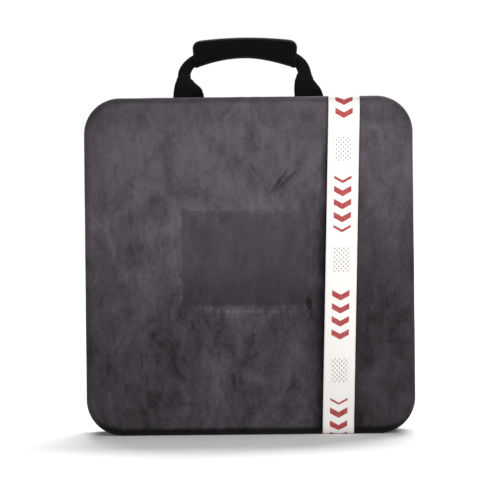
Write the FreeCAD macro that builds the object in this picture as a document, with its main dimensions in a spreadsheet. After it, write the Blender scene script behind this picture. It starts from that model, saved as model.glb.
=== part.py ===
"""Hard-shell carrying bag for a game console: two zipped halves, a webbing handle and a foam tray.

Millimetres. The bag stands on z = 0, its front faces -Y and +X is to the viewer's right.
"""
import FreeCAD, Part
import os
from math import pi

import Sketcher
from FreeCAD import Placement, Rotation, Vector

# alias, size, meaning
SIZES = [
    ("body_width", 380.0, "across the halves"),
    ("body_height", 390.0, "floor to the top wall"),
    ("corner_radius", 42.0, "corners of the outline"),
    ("wall", 5.0, "moulded wall"),
    ("edge_radius", 13.0, "rounded edge between a face and its walls"),
    ("face_crown", 3.0, "how far a face falls from its middle to its corners"),
    ("front_depth", 44.0, "front half, rim to face"),
    ("rear_depth", 66.0, "rear half, rim to face"),
    ("zip_gap", 22.0, "between the two rims"),
    ("mark_width", 146.0, "heat-pressed rectangle"),
    ("mark_height", 110.0, "heat-pressed rectangle"),
    ("mark_round", 14.0, "corners of the rectangle"),
    ("mark_depth", 1.0, "pressed in at the middle of the face"),
    ("mark_shift", 5.0, "rectangle left of the middle"),
    ("mark_lift", 204.0, "middle of the rectangle above the floor"),
    ("piping_dia", 4.0, "piping on each rim"),
    ("tape_thick", 0.8, "zip tape"),
    ("tape_lap", 10.0, "tape sewn inside the wall"),
    ("tape_gap", 2.0, "between the two tapes and the two rows of teeth"),
    ("teeth_width", 3.0, "one row of teeth"),
    ("teeth_height", 2.0, "teeth above the tape"),
    ("gusset_thick", 1.6, "hinge fabric"),
    ("gusset_lift", 1.0, "middle of the hinge fabric above the floor"),
    ("gusset_short", 1.0, "gusset short of the piping at each end"),
    ("band_width", 36.0, "ribbon on the front"),
    ("band_thick", 0.8, "ribbon"),
    ("band_top", 111.3, "middle of the ribbon at the top, right of the middle"),
    ("band_foot", 99.9, "middle of the ribbon at its foot"),
    ("band_end", 0.8, "foot of the ribbon above the floor"),
    ("strap_width", 38.0, "webbing laid flat"),
    ("strap_thick", 2.2, "webbing"),
    ("strap_root", 70.5, "middle of a leg at its root"),
    ("strap_set", 13.0, "handle behind the rear rim"),
    ("tab_length", 34.0, "sewn end of the webbing"),
    ("fold_width", 14.0, "webbing where it is folded"),
    ("fold_thick", 5.6, "webbing where it is folded"),
    ("leg_trim", 0.4, "how much narrower than flat webbing a leg's first section is"),
    ("arch_trim", 0.8, "how much smaller than the folded legs the strap is in the grip"),
    ("strap_round", 0.4, "corners of the strap in the grip"),
    ("strap_bend", 140.0, "radius of the strap's arch in the grip"),
    ("handle_shift", 3.0, "grip left of the middle, as the handle leans"),
    ("grip_length", 119.0, "padded grip at half its height"),
    ("grip_depth", 30.0, "padded grip, front to back"),
    ("grip_height", 24.2, "padded grip at its middle"),
    ("grip_splay", 2.5, "how much further each end reaches at the top than at half height"),
    ("grip_crown", 430.0, "radius of the grip's upper edge"),
    ("grip_saddle", 155.0, "radius of the grip's lower edge"),
    ("grip_corner", 10.0, "rounding of the grip's corners"),
    ("grip_round", 9.0, "rounding of the grip's front and back edges"),
    ("grip_rise", 60.6, "middle of the grip above the top wall"),
    ("grip_slack", 0.4, "between the grip and the strap in it"),
    ("slot_round", 0.6, "corners of the slot in the grip"),
    ("slot_over", 6.0, "slot past each end of the grip"),
    ("foam_fit", 0.3, "between the foam and the wall"),
    ("foam_set", 1.0, "front of the foam behind the zip tape"),
    ("foam_sheet", 11.0, "foam behind the frame"),
    ("foam_side", 40.0, "foam and wall beside the bays"),
    ("foam_foot", 22.0, "foam and wall below the console bay"),
    ("foam_head", 24.0, "foam and wall above the accessory bays"),
    ("foam_rib", 14.0, "rib between two bays"),
    ("case_height", 62.0, "accessory bays"),
    ("bay_round", 12.0, "corners of the bays"),
    ("pocket_width", 300.0, "mesh pocket"),
    ("pocket_height", 220.0, "mesh pocket"),
    ("pocket_lift", 165.0, "middle of the mesh pocket above the floor"),
    ("pocket_deep", 15.0, "mesh pocket in front of the lid's inner face"),
    ("pocket_wall", 1.2, "mesh"),
    ("pocket_round", 16.0, "corners of the mesh pocket"),
    ("hem_height", 11.0, "bound edge of the pocket"),
    ("hem_thick", 1.4, "bound edge of the pocket"),
    ("hem_short", 17.0, "bound edge short of the pocket at each end"),
    ("slider_width", 12.0, "across the zip"),
    ("slider_length", 17.0, "along the zip"),
    ("slider_round", 2.5, "corners of a slider's plates"),
    ("slider_play", 0.25, "between a slider's plates and the zip"),
    ("lip_play", 0.35, "between a slider's lips and the teeth"),
    ("lip_short", 3.0, "lips short of the plates at each end"),
    ("plate_thick", 1.2, "upper plate of a slider"),
    ("under_thick", 1.2, "lower plate of a slider"),
    ("post_width", 1.4, "post that parts the two rows"),
    ("post_length", 6.0, "post along the zip"),
    ("post_set", 4.0, "middle of the post behind the slider's nose"),
    ("overlap", 0.2, "how far joined blocks of a slider or pull reach into each other"),
    ("bail_length", 12.0, "bail that holds the pull"),
    ("bail_width", 3.0, "bail across the zip"),
    ("bail_open", 2.2, "opening under the bail"),
    ("bail_thick", 1.2, "metal of the bail"),
    ("bail_round", 1.4, "outer corners of the bail"),
    ("bail_hole_round", 0.6, "inner corners of the bail"),
    ("pull_width", 8.0, "zip pull"),
    ("pull_length", 30.0, "zip pull from its pin"),
    ("pull_thick", 1.8, "zip pull"),
    ("pull_round", 2.4, "corners of a pull"),
    ("pin_length", 3.2, "round pin of a pull"),
    ("window_width", 4.4, "slot of a pull"),
    ("window_length", 7.2, "slot of a pull"),
    ("window_round", 1.4, "corners of the slot"),
    ("slider_apart", 19.0, "between the sliders' middles on the closed zip"),
]

FRONT_FACE = "(-(sizes.front_depth + sizes.zip_gap + sizes.rear_depth) / 2)"
FRONT_RIM = f"({FRONT_FACE} + sizes.front_depth)"
REAR_RIM = f"({FRONT_RIM} + sizes.zip_gap)"
REAR_FACE = f"({REAR_RIM} + sizes.rear_depth)"
ZIP_LINE = f"({FRONT_RIM} + sizes.zip_gap / 2)"
HANDLE_Y = f"({REAR_RIM} + sizes.strap_set)"
GRIP_MID_Z = "(sizes.body_height + sizes.grip_rise)"
STRAP_AXIS_Z = f"({GRIP_MID_Z} - sizes.strap_bend)"
MID_Z = "sizes.body_height / 2"
CROWN_RADIUS = ("((sizes.body_width^2 + sizes.body_height^2) / 8 / sizes.face_crown"
                " + sizes.face_crown / 2)")
FOAM_INSET = "(sizes.wall + sizes.foam_fit)"
FOAM_SEAM = f"({REAR_FACE} - {FOAM_INSET} - sizes.foam_sheet)"
LID_INSIDE = f"({FRONT_FACE} + sizes.wall)"
POCKET_FACE = f"({LID_INSIDE} + sizes.pocket_deep)"
PIPING_END = "(sizes.body_width / 2 - sizes.corner_radius)"
# How far a cutting block reaches past what it cuts
CLEAR = "10"

doc = FreeCAD.newDocument("console_carrying_bag")
sheet = doc.addObject("Spreadsheet::Sheet", "sizes")
for row, (alias, size, meaning) in enumerate(SIZES, start=1):
    sheet.set(f"A{row}", meaning)
    sheet.set(f"B{row}", str(size))
    sheet.setAlias(f"B{row}", alias)
doc.recompute()


def number(expression):
    """The present value of an expression on the sheet."""
    return float(sheet.evalExpression(expression))


def bind(item, **expressions):
    """Ties properties of an object to expressions; a double underscore stands for a dot."""
    for name, expression in expressions.items():
        item.setExpression(name.replace("__", "."), str(expression))


def front_to_back(direction):
    """Whether a direction runs from front to back rather than across or upwards."""
    return abs(direction.y) > max(abs(direction.x), abs(direction.z))


def new_body(name):
    body = doc.addObject("PartDesign::Body", name)
    body.Label = name
    return body


def new_sketch(body, name, plane, x="0", y="0", z="0"):
    """An empty sketch on one of the body's own planes, shifted in that plane's own axes."""
    sketch = body.newObject("Sketcher::SketchObject", name)
    support = [item for item in body.Origin.OriginFeatures if item.Role == plane][0]
    sketch.AttachmentSupport = (support, [""])
    sketch.MapMode = "FlatFace"
    bind(sketch, AttachmentOffset__Base__x=x, AttachmentOffset__Base__y=y, AttachmentOffset__Base__z=z)
    return sketch


def measure(sketch, kind, *places, to):
    """A dimension on a sketch, tied to an expression."""
    index = sketch.addConstraint(Sketcher.Constraint(kind, *places, number(to)))
    sketch.setExpression(f"Constraints[{index}]", to)


def rounded_rectangle(sketch, width, height, radius, rise=None, open_foot=False):
    """A rounded rectangle about the sketch's origin, or about a point `rise` above it."""
    half_w, half_h, r = number(width) / 2, number(height) / 2, number(radius)
    lift = number(rise) if rise else 0.0
    inner_w, inner_h = half_w - r, half_h - r

    def at(x, y):
        return Vector(x, y + lift, 0)

    def corner(x, y, quarter):
        circle = Part.Circle(at(x, y), Vector(0, 0, 1), r)
        return Part.ArcOfCircle(circle, quarter * pi / 2, (quarter + 1) * pi / 2)

    first = sketch.GeometryCount
    for shape in (
        Part.LineSegment(at(-inner_w, -half_h), at(inner_w, -half_h)), corner(inner_w, -inner_h, 3),
        Part.LineSegment(at(half_w, -inner_h), at(half_w, inner_h)), corner(inner_w, inner_h, 0),
        Part.LineSegment(at(inner_w, half_h), at(-inner_w, half_h)), corner(-inner_w, inner_h, 1),
        Part.LineSegment(at(-half_w, inner_h), at(-half_w, -inner_h)), corner(-inner_w, -inner_h, 2),
    ):
        sketch.addGeometry(shape, False)
    foot, right, top, left = first, first + 2, first + 4, first + 6
    for step in range(8):
        after = first + (step + 1) % 8
        sketch.addConstraint(Sketcher.Constraint("Tangent", first + step, 2, after, 1))
    for line in (foot, top):
        sketch.addConstraint(Sketcher.Constraint("Horizontal", line))
    for line in (right, left):
        sketch.addConstraint(Sketcher.Constraint("Vertical", line))
    for arc in (3, 5, 7):
        sketch.addConstraint(Sketcher.Constraint("Equal", first + 1, first + arc))
    measure(sketch, "Radius", first + 1, to=radius)
    measure(sketch, "DistanceX", left, 1, right, 1, to=width)
    measure(sketch, "DistanceY", foot, 1, top, 1, to=height)
    if rise:
        middle = sketch.addGeometry(Part.Point(at(0, 0)), True)
        sketch.addConstraint(Sketcher.Constraint("PointOnObject", middle, 1, -2))
        measure(sketch, "DistanceY", -1, 1, middle, 1, to=rise)
        sketch.addConstraint(Sketcher.Constraint("Symmetric", foot, 1, top, 1, middle, 1))
    else:
        sketch.addConstraint(Sketcher.Constraint("Symmetric", foot, 1, top, 1, -1, 1))
    if open_foot:
        sketch.toggleConstruction(foot)


def rectangle(sketch, width, height):
    """A plain rectangle about the sketch's origin."""
    a, b = number(width) / 2, number(height) / 2
    corners = [Vector(-a, -b, 0), Vector(a, -b, 0), Vector(a, b, 0), Vector(-a, b, 0)]
    first = sketch.GeometryCount
    for step in range(4):
        sketch.addGeometry(Part.LineSegment(corners[step], corners[(step + 1) % 4]), False)
    for step in range(4):
        after = first + (step + 1) % 4
        sketch.addConstraint(Sketcher.Constraint("Coincident", first + step, 2, after, 1))
    for line, kind in ((0, "Horizontal"), (1, "Vertical"), (2, "Horizontal"), (3, "Vertical")):
        sketch.addConstraint(Sketcher.Constraint(kind, first + line))
    measure(sketch, "DistanceX", first, 1, first, 2, to=width)
    measure(sketch, "DistanceY", first + 1, 1, first + 1, 2, to=height)
    sketch.addConstraint(Sketcher.Constraint("Symmetric", first, 1, first + 1, 2, -1, 1))


def pad(body, sketch, length, back=False, both=False):
    """Pads a sketch along its plane's normal, against it, or half each way."""
    feature = body.newObject("PartDesign::Pad", sketch.Name + "_pad")
    feature.Profile = sketch
    feature.Reversed = back
    feature.Midplane = both
    bind(feature, Length=length)
    body.Tip = feature
    doc.recompute()
    return feature


def pocket_through(body, sketch):
    """Cuts a sketch right through the body, both ways."""
    feature = body.newObject("PartDesign::Pocket", sketch.Name + "_cut")
    feature.Profile = sketch
    feature.Type = "ThroughAll"
    feature.Midplane = True
    body.Tip = feature
    doc.recompute()
    return feature


def boolean(kind, name, base, tool):
    item = doc.addObject(f"Part::{kind}", name)
    item.Label = name
    item.Base, item.Tool = base, tool
    doc.recompute()
    return item


def outline_block(name, start, length, inset, back=False):
    """A plain block of the bag's outline, pushed in by `inset`, from a depth `start`."""
    body = new_body(name)
    sketch = new_sketch(body, name + "_outline", "XZ_Plane", y=MID_Z, z=f"-{start}")
    rounded_rectangle(sketch, f"sizes.body_width - 2 * {inset}", f"sizes.body_height - 2 * {inset}",
                      f"sizes.corner_radius - {inset}")
    pad(body, sketch, length, back=back)
    return body


def domed_block(name, front, start, inset):
    """The solid of one half, pushed in by `inset`: outline block, crowned face, rounded edge."""
    face = f"({FRONT_FACE} + {inset})" if front else f"({REAR_FACE} - {inset})"
    length = f"{start} - {face}" if front else f"{face} - {start}"
    body = outline_block(name, start, length, inset, back=not front)
    out = -1 if front else 1

    sketch = new_sketch(body, name + "_crown", "YZ_Plane", x=face, y=MID_Z)
    radius = f"{CROWN_RADIUS} - {inset}"
    reach = "hypot(sizes.body_width; sizes.body_height) / 2 + " + CLEAR
    r, v, margin = number(radius), number(reach), number(CLEAR)
    sag = r - (r * r - v * v) ** 0.5
    apex, edge = Vector(0, 0, 0), Vector(-out * sag, v, 0)
    far, foot = Vector(out * margin, v, 0), Vector(out * margin, 0, 0)
    circle = Part.Circle(Vector(-out * r, 0, 0), Vector(0, 0, 1), r)
    swing = Vector(out * r - out * sag, v, 0)
    turn = abs(Vector(r, 0, 0).getAngle(Vector(abs(swing.x), v, 0)))
    ends = (pi - turn, pi) if front else (0.0, turn)
    sketch.addGeometry(Part.ArcOfCircle(circle, *ends), False)
    for a, b in ((edge, far), (far, foot), (foot, apex)):
        sketch.addGeometry(Part.LineSegment(a, b), False)
    arc_edge, arc_apex = (1, 2) if front else (2, 1)
    for rule in (
        ("Coincident", 0, arc_apex, -1, 1), ("Coincident", 0, arc_edge, 1, 1), ("Coincident", 1, 2, 2, 1),
        ("Coincident", 2, 2, 3, 1), ("Coincident", 3, 2, -1, 1), ("PointOnObject", 0, 3, -1),
        ("Horizontal", 1), ("Vertical", 2), ("Horizontal", 3),
    ):
        sketch.addConstraint(Sketcher.Constraint(*rule))
    measure(sketch, "Radius", 0, to=radius)
    measure(sketch, "DistanceY", -1, 1, 0, arc_edge, to=reach)
    ends = (3, 1, 3, 2) if front else (3, 2, 3, 1)
    measure(sketch, "DistanceX", *ends, to=CLEAR)
    crown = body.newObject("PartDesign::Groove", name + "_crown_cut")
    crown.Profile = sketch
    crown.ReferenceAxis = (sketch, ["H_Axis"])
    crown.Angle = 360
    body.Tip = crown
    doc.recompute()

    faces = crown.Shape.Faces
    domed = [i for i, item in enumerate(faces) if item.Surface.TypeId == "Part::GeomSphere"][0]
    edge_round = body.newObject("PartDesign::Fillet", name + "_edge")
    edge_round.Base = (crown, [f"Face{domed + 1}"])
    bind(edge_round, Radius=f"sizes.edge_radius - {inset}")
    body.Tip = edge_round
    doc.recompute()
    return body


def rim_strip(name, start, width, outer, inner, back):
    """A strip along the rim between two insets, open along the straight part of the bottom."""
    body = new_body(name)
    sketch = new_sketch(body, name + "_loop", "XZ_Plane", y=MID_Z, z=f"-{start}")
    for inset in (outer, inner):
        rounded_rectangle(sketch, f"sizes.body_width - 2 * {inset}", f"sizes.body_height - 2 * {inset}",
                          f"sizes.corner_radius - {inset}")
    pad(body, sketch, width, back=back)
    opening = new_sketch(body, name + "_opening", "XZ_Plane")
    rectangle(opening, f"2 * {PIPING_END}", "2 * sizes.corner_radius")
    pocket_through(body, opening)
    return body


def rim_piping(name, depth):
    """Round piping along the rim at a depth, flush with the wall, open along the bottom."""
    body = new_body(name)
    inset = "sizes.piping_dia / 2"
    path = new_sketch(body, name + "_path", "XZ_Plane", y=MID_Z, z=f"-{depth}")
    rounded_rectangle(path, f"sizes.body_width - 2 * {inset}", f"sizes.body_height - 2 * {inset}",
                      f"sizes.corner_radius - {inset}", open_foot=True)
    section = new_sketch(body, name + "_section", "YZ_Plane", x=depth, y=inset, z=f"-{PIPING_END}")
    section.addGeometry(Part.Circle(Vector(0, 0, 0), Vector(0, 0, 1), number(inset)), False)
    section.addConstraint(Sketcher.Constraint("Coincident", 0, 3, -1, 1))
    measure(section, "Radius", 0, to=inset)
    doc.recompute()
    pipe = body.newObject("PartDesign::AdditivePipe", name + "_pipe")
    pipe.Profile = section
    pipe.Spine = (path, [])
    body.Tip = pipe
    doc.recompute()
    return body


def handle_arch(body, name, kind, depth, height, radius, span):
    """A section swung about the strap's arch over a chord `span`; a Revolution or a Groove."""
    sketch = new_sketch(body, name + "_section", "YZ_Plane", x=HANDLE_Y, y=STRAP_AXIS_Z,
                        z="-sizes.handle_shift")
    rounded_rectangle(sketch, depth, height, radius, rise="sizes.strap_bend")
    feature = body.newObject(f"PartDesign::{kind}", name)
    feature.Profile = sketch
    feature.ReferenceAxis = (sketch, ["H_Axis"])
    feature.Midplane = True
    bind(feature, Angle=f"2 * asin({span} / 2 / sizes.strap_bend)")
    body.Tip = feature
    doc.recompute()
    return feature


def strap_section(body, name, x, z, width, thick, lean):
    """A cross section of a leg: middle at x outwards and z up, leaning inwards by `lean`."""
    sketch = body.newObject("Sketcher::SketchObject", name)
    support = [item for item in body.Origin.OriginFeatures if item.Role == "XY_Plane"][0]
    sketch.AttachmentSupport = (support, [""])
    sketch.MapMode = "FlatFace"
    turn = number(lean)
    sketch.AttachmentOffset = Placement(Vector(), Rotation(Vector(0, 1, 0), turn))
    bind(sketch, AttachmentOffset__Base__x=f"-({x})", AttachmentOffset__Base__y=HANDLE_Y,
         AttachmentOffset__Base__z=z)
    if turn:
        bind(sketch, AttachmentOffset__Rotation__Angle=lean)
    rectangle(sketch, width, thick)
    doc.recompute()
    return sketch


def strap_leg(name, shift):
    """A leg on the left: a loft from flat webbing to its folded section, and a sewn tab.

    `shift` is how far outwards the leaning grip carries this leg's upper end.
    """
    body = new_body(name)
    top, root = "sizes.body_height", "sizes.strap_root"
    wide, thin = "sizes.strap_width", "sizes.strap_thick"
    narrow, thick = "sizes.fold_width", "sizes.fold_thick"
    rise = "sizes.grip_rise"

    def on_arch(chord):
        height = f"{STRAP_AXIS_Z} + sqrt(sizes.strap_bend^2 - {chord}^2)"
        return (f"{chord} + {shift}", height, narrow, thick, f"90 deg - asin({chord} / sizes.strap_bend)")

    # Place outwards, height, width, thickness and tilt, from the root up into the grip
    stations = [
        (root, f"{top} + {thin} / 4", f"{wide} - sizes.leg_trim", thin, "0"),
        (f"{root} + 0.3 * {shift}", f"{top} + 0.09 * {rise}", f"0.97 * {wide}", thin, "0"),
        (f"{root} + 0.8 * {shift}", f"{top} + 0.27 * {rise}", f"0.74 * {wide}", f"1.4 * {thin}", "0"),
        (f"{root} + 1.35 * {shift}", f"{top} + 0.46 * {rise}", f"0.96 * {narrow}", f"0.9 * {thick}", "6 deg"),
        (f"0.98 * {root} + 1.3 * {shift}", f"{top} + 0.6 * {rise}", f"0.94 * {narrow}", thick, "25 deg"),
        on_arch("(0.51 * sizes.grip_length)"),
        on_arch("(0.48 * sizes.grip_length)"),
    ]
    sections = [strap_section(body, f"{name}_section{i}", *station) for i, station in enumerate(stations)]
    loft = body.newObject("PartDesign::AdditiveLoft", name + "_loft")
    loft.Profile = sections[0]
    loft.Sections = sections[1:]
    body.Tip = loft
    doc.recompute()
    tab = new_sketch(body, name + "_tab", "XY_Plane", x=f"-{root}",
                     y=f"{HANDLE_Y} + sizes.tab_length / 2", z=top)
    rectangle(tab, wide, "sizes.tab_length")
    pad(body, tab, thin)
    return body


def grip_block(name):
    """The padded grip without its slot: a bowed side profile, padded both ways and rounded."""
    body = new_body(name)
    sketch = new_sketch(body, name + "_profile", "XZ_Plane", x="-sizes.handle_shift", y=GRIP_MID_Z,
                        z=f"-{HANDLE_Y}")
    half_high = "sizes.grip_height / 2"
    upper, lower = "sizes.grip_length / 2 + sizes.grip_splay", "sizes.grip_length / 2 - sizes.grip_splay"
    ends = []
    for chord, radius, middle in ((upper, "sizes.grip_crown", half_high),
                                  (lower, "sizes.grip_saddle", f"-{half_high}")):
        x, r, y = number(chord), number(radius), number(middle)
        z = y - r + (r * r - x * x) ** 0.5
        ends.append((Vector(-x, z, 0), Vector(x, z, 0)))
        sketch.addGeometry(Part.Arc(ends[-1][1], Vector(0, y, 0), ends[-1][0]), False)
    for side in (0, 1):
        sketch.addGeometry(Part.LineSegment(ends[0][side], ends[1][side]), False)
    # A curve's right end is its first point, its left end its second
    for line, place in ((2, 2), (3, 1)):
        sketch.addConstraint(Sketcher.Constraint("Coincident", 0, place, line, 1))
        sketch.addConstraint(Sketcher.Constraint("Coincident", 1, place, line, 2))
    for curve, chord, radius, drop in ((0, upper, "sizes.grip_crown", f"sizes.grip_crown - {half_high}"),
                                       (1, lower, "sizes.grip_saddle", f"sizes.grip_saddle + {half_high}")):
        sketch.addConstraint(Sketcher.Constraint("PointOnObject", curve, 3, -2))
        sketch.addConstraint(Sketcher.Constraint("Symmetric", curve, 1, curve, 2, -2))
        measure(sketch, "Radius", curve, to=radius)
        measure(sketch, "DistanceX", curve, 2, curve, 1, to=f"2 * ({chord})")
        measure(sketch, "DistanceY", curve, 3, -1, 1, to=drop)
    block = pad(body, sketch, "sizes.grip_depth", both=True)
    across = [i for i, edge in enumerate(block.Shape.Edges)
              if edge.Curve.TypeId == "Part::GeomLine" and front_to_back(edge.Curve.Direction)]
    corners = body.newObject("PartDesign::Fillet", name + "_corners")
    corners.Base = (block, [f"Edge{i + 1}" for i in across])
    bind(corners, Radius="sizes.grip_corner")
    body.Tip = corners
    doc.recompute()
    sides = [i for i, face in enumerate(corners.Shape.Faces)
             if face.Surface.TypeId == "Part::GeomPlane" and front_to_back(face.normalAt(0, 0))]
    edges = body.newObject("PartDesign::Fillet", name + "_edges")
    edges.Base = (corners, [f"Face{i + 1}" for i in sides])
    bind(edges, Radius="sizes.grip_round")
    body.Tip = edges
    doc.recompute()
    return body


def place_on_zip(item, left):
    """Lays an object on the top run of the zip: its x across, y towards the middle and z up."""
    side = -1 if left else 1
    item.Placement = Placement(Vector(), Rotation(Vector(0, side, 0), Vector(-side, 0, 0), Vector(0, 0, 1)))
    bind(item, Placement__Base__x=f"{side} * sizes.slider_apart / 2", Placement__Base__y=ZIP_LINE,
         Placement__Base__z="sizes.body_height - sizes.wall")
    doc.recompute()


# Heights above the tape's outer face, for the sliders and pulls
PLATE_FOOT = "(sizes.teeth_height + sizes.slider_play)"
PLATE_TOP = f"({PLATE_FOOT} + sizes.plate_thick)"
UNDER_TOP = "(sizes.tape_thick + sizes.slider_play)"
PIN_HEIGHT = f"({PLATE_TOP} + sizes.bail_open / 2)"


def slider(name, left):
    """A zip slider: two plates joined by a post, side lips over the teeth, and a bail."""
    body = new_body(name)
    upper = new_sketch(body, name + "_upper", "XY_Plane", z=PLATE_FOOT)
    rounded_rectangle(upper, "sizes.slider_width", "sizes.slider_length", "sizes.slider_round")
    pad(body, upper, "sizes.plate_thick")
    channel = "(sizes.tape_gap + 2 * sizes.teeth_width + 2 * sizes.lip_play)"
    lip = f"((sizes.slider_width - {channel}) / 2)"
    for side in (-1, 1):
        lips = new_sketch(body, f"{name}_lip{side + 1}", "XY_Plane", z="sizes.slider_play",
                          x=f"{side} * ({channel} + {lip}) / 2")
        rectangle(lips, lip, "sizes.slider_length - 2 * sizes.lip_short")
        pad(body, lips, "sizes.teeth_height + sizes.overlap")
    post = new_sketch(body, name + "_post", "XY_Plane", y="sizes.slider_length / 2 - sizes.post_set",
                      z=f"-{UNDER_TOP} - sizes.overlap")
    rectangle(post, "sizes.post_width", "sizes.post_length")
    pad(body, post, f"{UNDER_TOP} + {PLATE_FOOT} + 2 * sizes.overlap")
    under = new_sketch(body, name + "_under", "XY_Plane", z=f"-{UNDER_TOP}")
    rounded_rectangle(under, "sizes.slider_width", "sizes.slider_length", "sizes.slider_round")
    pad(body, under, "sizes.under_thick", back=True)
    height = "(sizes.bail_open + sizes.bail_thick)"
    bail = new_sketch(body, name + "_bail", "YZ_Plane", y=f"{PLATE_TOP} + {height} / 2 - sizes.overlap")
    rounded_rectangle(bail, "sizes.bail_length", f"{height} + 2 * sizes.overlap", "sizes.bail_round")
    pad(body, bail, "sizes.bail_width", both=True)
    hole = new_sketch(body, name + "_bail_hole", "YZ_Plane", y=f"{PLATE_TOP} + sizes.bail_open / 2")
    rounded_rectangle(hole, "sizes.bail_length - 2 * sizes.bail_thick", "sizes.bail_open",
                      "sizes.bail_hole_round")
    pocket_through(body, hole)
    place_on_zip(body, left)
    return body


def pull(name, left):
    """A zip pull lying flat: a tab with a slot, and a round pin at its end under the bail."""
    body = new_body(name)
    flat = new_sketch(body, name + "_tab", "XY_Plane", y="-sizes.pull_length / 2",
                      z=f"{PIN_HEIGHT} - sizes.pull_thick / 2")
    rounded_rectangle(flat, "sizes.pull_width", "sizes.pull_length", "sizes.pull_round")
    pad(body, flat, "sizes.pull_thick")
    slot = new_sketch(body, name + "_slot", "XY_Plane",
                      y="-(sizes.pull_thick + sizes.window_length) / 2 + 2 * sizes.overlap")
    rounded_rectangle(slot, "sizes.window_width", "sizes.window_length", "sizes.window_round")
    pocket_through(body, slot)
    pin = new_sketch(body, name + "_pin", "YZ_Plane", y=PIN_HEIGHT)
    pin.addGeometry(Part.Circle(Vector(0, 0, 0), Vector(0, 0, 1), number("sizes.pull_thick") / 2), False)
    pin.addConstraint(Sketcher.Constraint("Coincident", 0, 3, -1, 1))
    measure(pin, "Diameter", 0, to="sizes.pull_thick")
    pad(body, pin, "sizes.pin_length", both=True)
    place_on_zip(body, left)
    return body


nodes = {}

# Shells: an outer block less an inner one that runs out past the rim
front_outer = domed_block("front_outer", True, FRONT_RIM, "0")
front_inner = domed_block("front_inner", True, f"({FRONT_RIM} + {CLEAR})", "sizes.wall")
front_tray = boolean("Cut", "front_tray", front_outer, front_inner)
mark = new_body("press_mark")
mark_sketch = new_sketch(mark, "press_mark_outline", "XZ_Plane", x="-sizes.mark_shift", y="sizes.mark_lift",
                         z=f"-({FRONT_FACE} + sizes.mark_depth)")
rounded_rectangle(mark_sketch, "sizes.mark_width", "sizes.mark_height", "sizes.mark_round")
pad(mark, mark_sketch, CLEAR)
nodes["front_shell"] = boolean("Cut", "front_shell", front_tray, mark)
rear_outer = domed_block("rear_outer", False, REAR_RIM, "0")
rear_inner = domed_block("rear_inner", False, f"({REAR_RIM} - {CLEAR})", "sizes.wall")
nodes["rear_shell"] = boolean("Cut", "rear_shell", rear_outer, rear_inner)

# Piping lies in the gap, touching each rim
nodes["front_piping"] = rim_piping("front_piping", f"({FRONT_RIM} + sizes.piping_dia / 2)")
nodes["rear_piping"] = rim_piping("rear_piping", f"({REAR_RIM} - sizes.piping_dia / 2)")

# Zip tapes lie against the inside of the walls, the teeth on the tapes' outer faces
TAPE_WIDTH = "(sizes.zip_gap / 2 - sizes.tape_gap / 2 + sizes.tape_lap)"
TAPE_INSIDE = "(sizes.wall + sizes.tape_thick)"
TEETH_OUTSIDE = "(sizes.wall - sizes.teeth_height)"
for label, edge, front in (("front", f"({ZIP_LINE} - sizes.tape_gap / 2)", True),
                           ("rear", f"({ZIP_LINE} + sizes.tape_gap / 2)", False)):
    nodes[label + "_zip_tape"] = rim_strip(label + "_zip_tape", edge, TAPE_WIDTH, "sizes.wall", TAPE_INSIDE,
                                           back=not front)
    nodes[label + "_zip_teeth"] = rim_strip(label + "_zip_teeth", edge, "sizes.teeth_width", TEETH_OUTSIDE,
                                            "sizes.wall", back=not front)

# Hinge fabric between the two rims
gusset = doc.addObject("Part::Box", "hinge_gusset")
gusset_half = f"({PIPING_END} - sizes.gusset_short)"
bind(gusset, Length=f"2 * {gusset_half}", Width="sizes.zip_gap", Height="sizes.gusset_thick",
     Placement__Base__x=f"-{gusset_half}", Placement__Base__y=FRONT_RIM,
     Placement__Base__z="sizes.gusset_lift - sizes.gusset_thick / 2")
nodes["hinge_gusset"] = gusset

# Ribbon: the skin just outside the front half, kept inside a leaning strip
band_outer = domed_block("band_outer", True, FRONT_RIM, "-sizes.band_thick")
band_skin = boolean("Cut", "band_skin", band_outer, front_outer)
strip = new_body("band_strip")
strip_sketch = new_sketch(strip, "band_strip_outline", "XZ_Plane", z=f"-{FRONT_RIM}")
BAND_HIGH = "sizes.body_height + " + CLEAR
foot_left = number("sizes.band_foot - sizes.band_width / 2")
top_left = number("sizes.band_top - sizes.band_width / 2")
wide, low, tall = number("sizes.band_width"), number("sizes.band_end"), number(BAND_HIGH)
leaning = [Vector(foot_left, low, 0), Vector(foot_left + wide, low, 0),
           Vector(top_left + wide, tall, 0), Vector(top_left, tall, 0)]
for step in range(4):
    strip_sketch.addGeometry(Part.LineSegment(leaning[step], leaning[(step + 1) % 4]), False)
for step in range(4):
    strip_sketch.addConstraint(Sketcher.Constraint("Coincident", step, 2, (step + 1) % 4, 1))
strip_sketch.addConstraint(Sketcher.Constraint("Horizontal", 0))
strip_sketch.addConstraint(Sketcher.Constraint("Horizontal", 2))
measure(strip_sketch, "DistanceX", -1, 1, 0, 1, to="sizes.band_foot - sizes.band_width / 2")
measure(strip_sketch, "DistanceX", -1, 1, 2, 2, to="sizes.band_top - sizes.band_width / 2")
measure(strip_sketch, "DistanceX", 0, 1, 0, 2, to="sizes.band_width")
measure(strip_sketch, "DistanceX", 2, 2, 2, 1, to="sizes.band_width")
measure(strip_sketch, "DistanceY", -1, 1, 0, 1, to="sizes.band_end")
measure(strip_sketch, "DistanceY", -1, 1, 2, 1, to=BAND_HIGH)
pad(strip, strip_sketch, f"sizes.front_depth + {CLEAR}")
nodes["front_band"] = boolean("Common", "front_band", band_skin, strip)

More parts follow.
